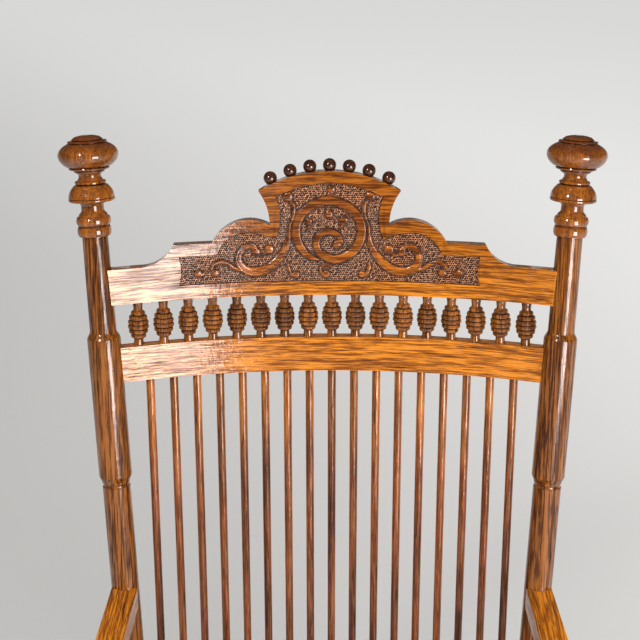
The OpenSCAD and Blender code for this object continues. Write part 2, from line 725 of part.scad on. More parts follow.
// Stretchers below the seat
stretch_z = seat_h - seat_rail_h - 52;
front_stretch = front_at(stretch_z);
back_stretch = post_at(stretch_z - 14);
side_from = front_at(stretch_z - 14);
module stretcher_joints(gap) {
    translate([0, front_stretch[1], front_stretch[2]]) rotate([0, 90, 0])
        cylinder(r = 5 + gap, h = front_stretch[0] - 3 + gap);
    d = back_stretch - side_from;
    between(side_from + 3*d/norm(d), back_stretch - 3*d/norm(d)) translate([0, 0, -gap])
        cylinder(r = 5 + gap, h = norm(d) - 6 + 2*gap);
    translate([0, back_stretch[1], back_stretch[2] + 30]) rotate([0, 90, 0])
        cylinder(r = 5 + gap, h = post_at(stretch_z + 16)[0] - 3 + gap);
}
module stretcher_form(len, from) {
    h = len/2;
    turned(concat([[5, from], [5, 24]], sweep_r(26, h - 40, 5.2, 9.5),
        bead(h - 37, h - 31, 9, 2.6, 6), swell(h - 28, h + 28, 8.4, 8.4, 4.2, 12),
        bead(h + 31, h + 37, 9, 2.6, 6), sweep_r(h + 40, len - 26, 9.5, 5.2),
        [[5, len - 24], [5, len - from]]));
}
module front_stretcher() {
    p = front_stretch;
    color(oak) translate([-p[0], p[1], p[2]]) rotate([0, 90, 0]) stretcher_form(2*p[0], 4);
}
module rear_stretcher() {
    p = post_at(stretch_z + 16);
    color(oak) translate([-p[0], back_stretch[1], back_stretch[2] + 30]) rotate([0, 90, 0])
        stretcher_form(2*p[0], 4);
}
module side_stretcher() {
    color(oak) between(side_from, back_stretch) stretcher_form(norm(back_stretch - side_from), 4);
}

// Runners: straight on top, curved below, and eased to the rocking angle
module runner_outline() {
    a = rock_max + 0.3;
    keel = 30;
    z1 = -axis_rise/cos(a) + keel*tan(a);
    top = runner_top - rock_z;
    tip = asin(sin(a) + (runner_half - keel)/runner_r);
    toe_z = z1 + runner_r*(cos(a) - cos(tip));
    nose = (top - toe_z)/(1 + cos(tip));
    arc = [for (i = [0:24]) let(b = a + (tip - a)*i/24)
        [keel + runner_r*(sin(b) - sin(a)), z1 + runner_r*(cos(a) - cos(b))]];
    toe = [for (i = [1:12]) let(b = tip - 90 + (180 - tip)*i/12)
        [runner_half - nose*sin(tip) + nose*cos(b), toe_z + nose*cos(tip) + nose*sin(b)]];
    side = concat([for (i = [0:4]) let(b = a*i/4) [axis_rise*sin(b), -axis_rise*cos(b)]],
        arc, toe, [[runner_half - nose*sin(tip) - 1, top]]);
    polygon(concat(side, flip([for (p = side) [-p[0], p[1]]])));
}
module runner() {
    color(oak) difference() {
        translate([runner_x - runner_t/2, rock_y, rock_z]) rotate([90, 0, 90])
            linear_extrude(runner_t) runner_outline();
        between(back_foot, post_at(runner_top - 26)) translate([0, 0, -3]) cylinder(r = 9 + fit, h = 30);
        between(front_foot, front_at(runner_top - 26)) translate([0, 0, -3]) cylinder(r = 9 + fit, h = 30);
        tie_tenons(fit);
        upper_screws(fit);
    }
}
tie_y = runner_half - 76;
tie_h = 40;
tie_t = 20;
tie_z = runner_top - tie_h/2 - 4;
module tie_tenons(gap) {
    for (s = [-1, 1]) translate([0, rock_y + s*tie_y, tie_z])
        cube([2*(runner_x - runner_t/2 + 12 + gap), tie_t/2 + 2*gap, tie_h/2 + 2*gap], center = true);
}
module runner_tie(s) {
    color(oak) {
        translate([0, rock_y + s*tie_y, tie_z])
            cube([2*(runner_x - runner_t/2), tie_t, tie_h], center = true);
        translate([0, rock_y + s*tie_y, tie_z])
            cube([2*(runner_x - runner_t/2 + 12), tie_t/2, tie_h/2], center = true);
    }
}

// Spring irons: a plate on the wood and a shelf that the springs stand in
runner_in = runner_x - runner_t/2;
platform_in = runner_x - platform_rail_t/2;
spring_x = platform_in - 18;
low_shelf = rock_z - spring_h/2;
up_shelf = low_shelf + spring_h;
shelf_w = coil_r + 8;
module iron_bracket(face, z_shelf, up) {
    translate([0, rock_y, z_shelf]) mirror([0, 0, up ? 0 : 1]) {
        translate([face - iron_t, -iron_len/2, 0]) cube([iron_t, iron_len, iron_plate_h]);
        translate([spring_x - shelf_w, -iron_len/2, 0]) cube([face - spring_x + shelf_w, iron_len, iron_t]);
        for (s = [-1, 1]) translate([face - iron_t/2, s*(iron_len/2 - 3), iron_t/2]) rotate([90, 0, 0])
            linear_extrude(iron_t, center = true)
                polygon([[0, 0], [-(face - spring_x) + 2, 0], [0, iron_plate_h - 6]]);
    }
}
module spring_seats(z_shelf, up) {
    for (s = [-1, 1]) translate([spring_x, rock_y + s*spring_gap, z_shelf]) mirror([0, 0, up ? 1 : 0])
        translate([0, 0, -0.5]) cylinder(r = coil_r - wire_d/2 - 1.5, h = 7);
}
screw_dy = 42;
module screw_row(gap, face, z, head) {
    for (s = [-1, 0, 1]) translate([face, rock_y + s*screw_dy, z]) rotate([0, 90, 0]) {
        translate([0, 0, -iron_t - 0.05]) cylinder(r = 2.1 + gap, h = iron_t + 14 + gap);
        if (head) difference() {
            translate([0, 0, -iron_t - 0.05]) mirror([0, 0, 1])
                turned([[4.4, 0], [4.2, 1], [3.3, 2], [1.8, 2.6]]);
            translate([-5, -0.45, -iron_t - 4]) cube([10, 0.9, 2]);
        }
    }
}
screw_in = iron_plate_h*0.6;
screw_up_z = up_shelf + screw_in;
screw_low_z = low_shelf - screw_in;
module upper_screws(gap, head = false) { screw_row(gap, runner_in, screw_up_z, head); }
module lower_screws(gap, head = false) { screw_row(gap, platform_in, screw_low_z, head); }
module upper_bracket() {
    color(iron) difference() {
        union() {
            iron_bracket(runner_in, up_shelf, true);
            spring_seats(up_shelf, true);
        }
        upper_screws(fit);
    }
}
module lower_bracket() {
    color(iron) difference() {
        union() {
            iron_bracket(platform_in, low_shelf, false);
            spring_seats(low_shelf, false);
        }
        lower_screws(fit);
    }
}
module bracket_screws_upper() { color(steel) sides() upper_screws(0, true); }
module bracket_screws_lower() { color(steel) sides() lower_screws(0, true); }

// Coil springs: one unbroken wire with straight ends
coil_steps = 8*coil_turns;
bend_r = 3.2;
rise = spring_h - 2*wire_d - 2*bend_r;
function coil_at(t) = [coil_r*cos(360*t), coil_r*sin(360*t), wire_d + bend_r + rise*t/coil_turns];
function coil_dir(t) = let(d = [-2*PI*coil_r*sin(360*t), 2*PI*coil_r*cos(360*t), rise/coil_turns]) d/norm(d);
end_low = [for (a = [0, 30, 60])
    [[coil_r, bend_r*(1 - cos(a)) - bend_r, wire_d + bend_r*sin(a)], [0, sin(a), cos(a)], [1, 0, 0]]];
wire_path = concat(
    [[[coil_r, -bend_r, 0], [0, 0, 1], [1, 0, 0]], [[coil_r, -bend_r, wire_d/2], [0, 0, 1], [1, 0, 0]]],
    end_low,
    [for (i = [0:coil_steps]) let(t = i/8) [coil_at(t), coil_dir(t), [cos(360*t), sin(360*t), 0]]],
    [for (k = [2:-1:0]) let(e = end_low[k])
        [[e[0][0], -e[0][1], spring_h - e[0][2]], [0, e[1][1], e[1][2]], [1, 0, 0]]],
    [[[coil_r, bend_r, spring_h - wire_d/2], [0, 0, 1], [1, 0, 0]],
     [[coil_r, bend_r, spring_h], [0, 0, 1], [1, 0, 0]]]);
wire_gap = min([for (i = [0:len(wire_path) - 1], j = [0:len(wire_path) - 1])
    if (j > i + 5) norm(wire_path[i][0] - wire_path[j][0])]) - wire_d;
echo(least_gap_of_a_spring_to_itself = wire_gap);
module coil_spring() {
    m = len(wire_path);
    n = 6;
    pts = [for (q = wire_path, k = [0:n - 1]) q[0] + wire_d/2*(cos(60*k)*q[2] + sin(60*k)*cross(q[1], q[2]))];
    faces = concat(
        [[for (k = [0:n - 1]) k]],
        [for (i = [0:m - 2], k = [0:n - 1]) let(l = (k + 1) % n) [i*n + k, (i + 1)*n + l, i*n + l]],
        [for (i = [0:m - 2], k = [0:n - 1]) let(l = (k + 1) % n) [i*n + k, (i + 1)*n + k, (i + 1)*n + l]],
        [[for (k = [n - 1:-1:0]) (m - 1)*n + k]]);
    color(steel) polyhedron(pts, faces);
}
module spring_at(s) { translate([spring_x, rock_y + s*spring_gap, low_shelf]) coil_spring(); }

// Platform
module platform_outline() {
    h = platform_rail_h;
    translate([0, platform_top - h/2]) square([2*platform_half - 60, h], center = true);
    for (s = [-1, 1]) {
        translate([s*(platform_half - 30), platform_top - 30]) circle(r = 30);
        translate([s*(platform_half - 33), platform_top - h/2 - 4]) square([36, h - 8], center = true);
    }
}
module platform_rail() {
    color(oak) difference() {
        translate([platform_in, rock_y, 0]) rotate([90, 0, 90]) linear_extrude(platform_rail_t)
            intersection() {
                platform_outline();
                translate([0, platform_top - platform_rail_h/2])
                    square([2*platform_half, platform_rail_h], center = true);
            }
        for (s = [-1, 1]) {
            translate([runner_x, rock_y + s*(platform_half - foot_inset), platform_top - platform_rail_h - 1])
                cylinder(r = 8 + fit, h = 24);
        }
        cross_tenons(fit);
        lower_screws(fit);
    }
}
cross_y = platform_half - foot_inset - 44;
cross_h = 44;
cross_t = 24;
cross_z = platform_top - 8 - cross_h/2;
module cross_tenons(gap) {
    for (s = [-1, 1]) translate([0, rock_y + s*cross_y, cross_z])
        cube([2*(platform_in + 18 + gap), cross_t/2 + 2*gap, cross_h/2 + 2*gap], center = true);
}
module platform_cross(s) {
    color(oak) {
        translate([0, rock_y + s*cross_y, cross_z]) cube([2*platform_in, cross_t, cross_h], center = true);
        translate([0, rock_y + s*cross_y, cross_z])
            cube([2*(platform_in + 18), cross_t/2, cross_h/2], center = true);
    }
}
module foot(s) {
    h = platform_top - platform_rail_h;
    color(dark_oak) translate([runner_x, rock_y + s*(platform_half - foot_inset), 0]) {
        turned(concat([[foot_r*0.62, 0]], swell(2, h*0.62, foot_r*0.72, foot_r*0.7, foot_r*0.28, 12),
            hollow(h*0.65, h*0.82, foot_r*0.62, foot_r*0.66, 3), bead(h*0.84, h*0.93, foot_r*0.66, 2.6, 6),
            [[foot_r*0.7, h*0.95], [foot_r*0.74, h]]));
        translate([0, 0, h - 1]) cylinder(r = 8, h = 22);
    }
}

left() back_post();  // back_post_left
back_post();  // back_post_right
left() finial();  // finial_left
finial();  // finial_right
crest_rail();
crest_balls();
beehive_spindles();
middle_back_rail();
back_spindles();
lower_back_rail();
left() arm();  // arm_left
arm();  // arm_right
arm_screws();
left() front_post();  // front_post_left
front_post();  // front_post_right
left() arm_spindles();  // arm_spindles_left
arm_spindles();  // arm_spindles_right
seat_rail_cross(front_seat);  // seat_rail_front
seat_rail_cross(back_seat);  // seat_rail_back
left() seat_rail_side();  // seat_rail_left
seat_rail_side();  // seat_rail_right
corner_blocks();
seat_webbing();
seat_cushion();
front_stretcher();
rear_stretcher();
left() side_stretcher();  // side_stretcher_left
side_stretcher();  // side_stretcher_right
left() runner();  // runner_left
runner();  // runner_right
runner_tie(-1);  // runner_tie_front
runner_tie(1);  // runner_tie_rear
left() upper_bracket();  // upper_bracket_left
upper_bracket();  // upper_bracket_right
left() lower_bracket();  // lower_bracket_left
lower_bracket();  // lower_bracket_right
bracket_screws_upper();
bracket_screws_lower();
left() spring_at(-1);  // spring_left_front
left() spring_at(1);  // spring_left_rear
spring_at(-1);  // spring_right_front
spring_at(1);  // spring_right_rear
left() platform_rail();  // platform_rail_left
platform_rail();  // platform_rail_right
platform_cross(-1);  // platform_cross_front
platform_cross(1);  // platform_cross_rear
left() foot(-1);  // foot_front_left
foot(-1);  // foot_front_right
left() foot(1);  // foot_rear_left
foot(1);  // foot_rear_right
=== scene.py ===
"""Dressing of a platform rocker: carved crest, stick back, turned posts, stuffed seat and spring irons.

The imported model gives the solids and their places. This script adds the finishes, the carving, the
seat cover, the nails, the gimp, the webbing and the springs. Lengths are in metres.
"""

import json
import logging
import math
from dataclasses import dataclass, field
from enum import Enum
from typing import Any, Callable, Sequence

import bmesh
import bpy
import numpy as np
from mathutils import Matrix, Vector
from mathutils.bvhtree import BVHTree

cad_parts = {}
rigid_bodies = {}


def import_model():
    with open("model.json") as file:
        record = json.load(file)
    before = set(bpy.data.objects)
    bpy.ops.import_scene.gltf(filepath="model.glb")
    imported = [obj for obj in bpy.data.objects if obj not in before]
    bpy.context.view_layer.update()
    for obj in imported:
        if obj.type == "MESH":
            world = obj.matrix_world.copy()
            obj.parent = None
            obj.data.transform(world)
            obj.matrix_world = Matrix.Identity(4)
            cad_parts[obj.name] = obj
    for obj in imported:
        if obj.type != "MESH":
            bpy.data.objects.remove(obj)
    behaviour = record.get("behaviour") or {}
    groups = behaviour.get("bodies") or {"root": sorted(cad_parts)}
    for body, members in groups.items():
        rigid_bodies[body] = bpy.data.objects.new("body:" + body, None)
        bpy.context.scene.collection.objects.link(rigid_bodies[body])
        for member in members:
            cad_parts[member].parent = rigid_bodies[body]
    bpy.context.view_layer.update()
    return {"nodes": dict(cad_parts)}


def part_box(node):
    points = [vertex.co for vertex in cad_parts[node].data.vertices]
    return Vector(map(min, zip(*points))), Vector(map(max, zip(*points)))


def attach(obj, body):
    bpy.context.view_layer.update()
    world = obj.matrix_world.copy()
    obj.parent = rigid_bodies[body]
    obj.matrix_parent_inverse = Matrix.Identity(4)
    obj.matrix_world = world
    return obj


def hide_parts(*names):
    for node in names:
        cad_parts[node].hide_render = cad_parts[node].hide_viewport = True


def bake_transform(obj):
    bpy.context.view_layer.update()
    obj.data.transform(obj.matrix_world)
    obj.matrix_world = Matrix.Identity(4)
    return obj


Colour = tuple[float, float, float]
Plan = tuple[float, float]
Material = bpy.types.Material
Node = bpy.types.Node
Piece = bpy.types.Object
Socket = bpy.types.NodeSocket
Tree = bpy.types.NodeTree
log = logging.getLogger("rocker")
MM = 0.001
# Distances below which points count as one, in meshes made here and in packed ones
SAME_POINT = 1e-7
PACKED_POINT = 2e-6


class Grain(Enum):
    """Turn, in degrees about X, Y and Z, that lays a piece's grain along Z."""

    ACROSS = (0.0, 90.0, 0.0)
    FORWARDS = (90.0, 0.0, 0.0)
    UPRIGHT = (0.0, 0.0, 0.0)
    LEANING = (12.0, 0.0, 0.0)


class Body(Enum):
    """The two bodies of the chair."""

    CHAIR = "chair"
    PLATFORM = "platform"


@dataclass(frozen=True)
class BackPlane:
    """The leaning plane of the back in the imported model: x across, b backwards, v up along it."""

    y: float = 270.269 * MM
    z: float = 952 * MM
    lean: float = math.radians(12)
    bow_radius: float = 568 * MM
    half_width: float = 0.25
    board: float = 18 * MM

    @property
    def turn(self) -> Plan:
        """Cosine and sine of the lean."""
        return math.cos(self.lean), math.sin(self.lean)

    @property
    def chord(self) -> float:
        """Distance of the bend's centre from the plane of the back, for the crest rail."""
        return math.sqrt(self.bow_radius ** 2 - self.half_width ** 2)

    def bow(self, x: np.ndarray) -> np.ndarray:
        """Distance backwards of the crest rail's middle at x."""
        return np.sqrt(self.bow_radius ** 2 - np.square(x)) - self.chord

    def depth(self, x: np.ndarray, b: np.ndarray) -> np.ndarray:
        """Depth of places under the front face of the crest rail."""
        return np.hypot(x, b + self.chord) - self.bow_radius + self.board / 2

    def at_depth(self, x: np.ndarray, depth: np.ndarray) -> np.ndarray:
        """Distance backwards of places that lie at a depth under the crest rail's front face."""
        return np.sqrt(np.square(self.bow_radius - self.board / 2 + depth) - np.square(x)) - self.chord

    def inside(self, co: np.ndarray) -> tuple[np.ndarray, np.ndarray]:
        """Turns points of the chair into b and v of the back.

        Args:
            co: The points, one row each.

        Returns:
            b and v of each point.
        """
        c, s = self.turn
        y, z = co[:, 1] - self.y, co[:, 2] - self.z
        return y * c - z * s, y * s + z * c

    def points(self, x: np.ndarray, b: np.ndarray, v: np.ndarray) -> np.ndarray:
        """Points of the chair for places in the back.

        Args:
            x: Across.
            b: Backwards.
            v: Up along the back, from the crest rail's lower edge.

        Returns:
            One row for each point.
        """
        c, s = self.turn
        return np.stack([x, self.y + b * c + v * s, self.z - b * s + v * c], axis=-1)


BACK = BackPlane()


# Node graphs


class Graph:
    """Adds nodes to a tree and wires them."""

    def __init__(self, tree: Tree) -> None:
        """Works on the tree of a material, a shader group or a geometry group."""
        self.tree = tree

    def feed(self, node: Node, feeds: dict[Any, Any]) -> None:
        """Wires a node's inputs to sockets, or sets them to values.

        Args:
            node: The node.
            feeds: Sockets or values, by the input's name or index.
        """
        for key, value in feeds.items():
            if isinstance(value, Socket):
                self.tree.links.new(value, node.inputs[key])
            else:
                node.inputs[key].default_value = value

    def node(self, kind: str, feeds: dict[Any, Any] | None = None, **settings: Any) -> Node:
        """Adds one node.

        Args:
            kind: The node's type name.
            feeds: Values or sockets for its inputs, by name or index.
            settings: Properties of the node.

        Returns:
            The node.
        """
        made = self.tree.nodes.new(kind)
        for name, value in settings.items():
            setattr(made, name, value)
        self.feed(made, feeds or {})
        return made

    def group(self, tree: Tree, feeds: dict[Any, Any] | None = None) -> Any:
        """Adds a shader group and returns its outputs."""
        return self.node("ShaderNodeGroup", feeds, node_tree=tree).outputs

    def math(self, operation: str, a: Any, b: Any = 0.0, clamp: bool = False) -> Socket:
        """Adds a Math node and returns its output."""
        return self.node("ShaderNodeMath", {0: a, 1: b}, operation=operation, use_clamp=clamp).outputs[0]

    def add(self, a: Any, b: Any, clamp: bool = False) -> Socket:
        """Adds two values."""
        return self.math("ADD", a, b, clamp)

    def sub(self, a: Any, b: Any) -> Socket:
        """Takes b from a."""
        return self.math("SUBTRACT", a, b)

    def mul(self, a: Any, b: Any) -> Socket:
        """Multiplies two values."""
        return self.math("MULTIPLY", a, b)

    def mix(self, share: Any, a: Any, b: Any, blend: str = "MIX") -> Socket:
        """Mixes two colours.

        Args:
            share: How much of b there is.
            a: A socket, or red, green and blue.
            b: A socket, or red, green and blue.
            blend: Blender's name of the way to mix.

        Returns:
            The mixed colour.
        """
        a, b = ((*c, 1.0) if isinstance(c, tuple) else c for c in (a, b))
        return self.node("ShaderNodeMix", {0: share, 6: a, 7: b}, data_type="RGBA",
                         blend_type=blend).outputs[2]

    def tint(self, colour: Any, by: Any) -> Socket:
        """Multiplies a colour by another."""
        return self.mix(1.0, colour, by, "MULTIPLY")

    def step(self, value: Any, low: float, high: float, smooth: bool = True) -> Socket:
        """Maps a value from low..high to 0..1.

        Args:
            value: The value.
            low: What becomes 0.
            high: What becomes 1.
            smooth: Whether the slope starts and ends gently.

        Returns:
            The mapped value.
        """
        feeds = {"Value": value, "From Min": low, "From Max": high}
        made = self.node("ShaderNodeMapRange", feeds, clamp=True)
        if smooth:
            made.interpolation_type = "SMOOTHSTEP"
        return made.outputs[0]

    def vary(self, value: Any, low: float, high: float) -> Socket:
        """Maps 0..1 to low..high."""
        return self.node("ShaderNodeMapRange", {"Value": value, "To Min": low, "To Max": high},
                         clamp=True).outputs[0]

    def noise(self, vector: Any, scale: Any, detail: float = 2.0, rough: float = 0.5,
              seed: Any = 0.0, warp: float = 0.0) -> Socket:
        """Adds a 4D noise whose fourth coordinate is the seed.

        Args:
            vector: Where the noise is looked up.
            scale: Its scale.
            detail: Its octaves.
            rough: How much each octave counts.
            seed: The fourth coordinate.
            warp: Its distortion.

        Returns:
            The noise, around 0.5.
        """
        return self.node("ShaderNodeTexNoise", {
            "Vector": vector, "Scale": scale, "Detail": detail, "Roughness": rough, "W": seed,
            "Distortion": warp}, noise_dimensions="4D").outputs[0]

    def stretched(self, vector: Any, scale: Sequence[float]) -> Socket:
        """Scales a vector by component."""
        feeds = {0: vector, 1: tuple(scale)}
        return self.node("ShaderNodeVectorMath", feeds, operation="MULTIPLY").outputs[0]

    def split(self, vector: Any) -> Any:
        """The three components of a vector."""
        return self.node("ShaderNodeSeparateXYZ", {0: vector}).outputs

    def bump(self, height: Any, strength: float, distance: float) -> Socket:
        """A normal bent by a height."""
        return self.node("ShaderNodeBump", {"Height": height, "Strength": strength,
                                            "Distance": distance}).outputs[0]


def new_group(name: str, kind: str, ins: dict[str, tuple[str, Any]],
              outs: dict[str, str]) -> tuple[Graph, Any, Node]:
    """Starts a node group with named inputs and outputs.

    Args:
        name: The group's name.
        kind: ShaderNodeTree or GeometryNodeTree.
        ins: Socket type suffix and default of each input, by name.
        outs: Socket type suffix of each output, by name.

    Returns:
        The graph, the sockets that give the inputs, and the output node.
    """
    tree = bpy.data.node_groups.new(name, kind)
    for label, (suffix, default) in ins.items():
        made = tree.interface.new_socket(name=label, in_out="INPUT", socket_type="NodeSocket" + suffix)
        if default is not None:
            made.default_value = default
    for label, suffix in outs.items():
        tree.interface.new_socket(name=label, in_out="OUTPUT", socket_type="NodeSocket" + suffix)
    graph = Graph(tree)
    return graph, graph.node("NodeGroupInput").outputs, graph.node("NodeGroupOutput")


def wood_grain_group() -> Tree:
    """Oak grain that runs along Z: rings, streaks, open pores and the height that they leave.

    Returns:
        The group, with the masks Tone, Streak and Pores and the Height.
    """
    graph, given, out = new_group(
        "wood_grain", "ShaderNodeTree",
        {"Vector": ("Vector", None), "Fineness": ("Float", 1.0), "Seed": ("Float", 0.0)},
        {"Tone": "Float", "Streak": "Float", "Pores": "Float", "Height": "Float"})
    fine = graph.node("ShaderNodeVectorMath", {0: given["Vector"], "Scale": given["Fineness"]},
                      operation="SCALE").outputs[0]
    # Squeeze along the grain, scale, detail, roughness and distortion of each noise
    tone, rings, lines, dashes = (
        graph.noise(graph.stretched(fine, (1, 1, along)), scale, detail, rough, given["Seed"], warp)
        for along, scale, detail, rough, warp in (
            (0.16, 22, 2, 0.5, 0.3), (0.04, 170, 3, 0.6, 0.2), (0.045, 560, 3, 0.7, 0.1),
            (0.035, 900, 1.5, 0.5, 0.0)))
    streak = graph.add(graph.mul(rings, 0.34), graph.mul(lines, 0.66))
    pores = graph.mul(graph.step(dashes, 0.53, 0.66), graph.sub(1.0, graph.step(rings, 0.42, 0.62)))
    graph.feed(out, {"Tone": graph.step(tone, 0.28, 0.72, False), "Streak": graph.step(streak, 0.445, 0.565),
                     "Pores": pores, "Height": graph.sub(graph.mul(lines, 0.3), pores)})
    return graph.tree


def bent_wood_group() -> Tree:
    """Unbends the back's steam-bent rails, so that their grain follows the bend.

    Returns:
        The group. It gives a vector whose Z runs along the rail.
    """
    graph, given, out = new_group(
        "unbent_place", "ShaderNodeTree",
        {"Vector": ("Vector", None), "Half Width": ("Float", 0.25)}, {"Vector": "Vector"})
    place = graph.split(given["Vector"])
    y, z = graph.sub(place[1], BACK.y), graph.sub(place[2], BACK.z)
    c, s = BACK.turn
    half = graph.mul(given["Half Width"], given["Half Width"])
    chord = graph.math("SQRT", graph.sub(BACK.bow_radius ** 2, half))
    far = graph.add(graph.sub(graph.mul(y, c), graph.mul(z, s)), chord)
    radius = graph.math("SQRT", graph.add(graph.mul(place[0], place[0]), graph.mul(far, far)))
    along = graph.mul(graph.math("ARCTAN2", place[0], far), BACK.bow_radius)
    up = graph.add(graph.mul(y, s), graph.mul(z, c))
    flat = graph.node("ShaderNodeCombineXYZ", {0: radius, 1: up, 2: along})
    graph.feed(out, {0: flat.outputs[0]})
    return graph.tree


def hollows_group() -> Tree:
    """Finds where a surface lies in a hollow, where the finishes paint shade, and where it has an exposed
    edge.

    Returns:
        The group, with the masks Painted Shade and Edge.
    """
    graph, given, out = new_group(
        "painted_shade_and_edges", "ShaderNodeTree",
        {"Reach": ("Float", 0.006), "Edge Reach": ("Float", 0.0016)}, {"Painted Shade": "Float", "Edge": "Float"})
    for label, reach, inside, low, high in (("Painted Shade", "Reach", False, 0.06, 0.5),
                                            ("Edge", "Edge Reach", True, 0.25, 0.8)):
        open_share = graph.node("ShaderNodeAmbientOcclusion", {"Distance": given[reach]}, samples=6,
                                only_local=True, inside=inside).outputs["AO"]
        graph.feed(out, {label: graph.step(graph.sub(1.0, open_share), low, high)})
    return graph.tree


def dust_group() -> Tree:
    """Fine dust that settles on surfaces that face up.

    Returns:
        The group, with the mask Dust.
    """
    graph, given, out = new_group(
        "settled_dust", "ShaderNodeTree",
        {"Vector": ("Vector", None), "Amount": ("Float", 0.3)}, {"Dust": "Float"})
    up = graph.split(graph.node("ShaderNodeNewGeometry").outputs["Normal"])[2]
    patch = graph.step(graph.noise(given["Vector"], 60, 4, 0.65), 0.4, 0.75)
    lying = graph.mul(graph.step(up, 0.55, 1.0), patch)
    graph.feed(out, {"Dust": graph.mul(lying, given["Amount"])})
    return graph.tree


@dataclass
class Groups:
    """The shader groups that the finishes share."""

    grain: Tree = field(default_factory=wood_grain_group)
    unbent: Tree = field(default_factory=bent_wood_group)
    hollows: Tree = field(default_factory=hollows_group)
    dust: Tree = field(default_factory=dust_group)


class Surface(Graph):
    """A new material with one Principled shader."""

    def __init__(self, name: str) -> None:
        """Starts the material.

        Args:
            name: The material's name.
        """
        self.material = bpy.data.materials.new(name)
        self.material.use_nodes = True
        super().__init__(self.material.node_tree)
        self.tree.nodes.clear()
        self.shader = self.node("ShaderNodeBsdfPrincipled")
        self.node("ShaderNodeOutputMaterial", {0: self.shader.outputs[0]})
        self.place = self.node("ShaderNodeTexCoord").outputs["Object"]

    def done(self, feeds: dict[str, Any]) -> Material:
        """Feeds the shader and returns the material."""
        self.feed(self.shader, feeds)
        return self.material


# Finishes


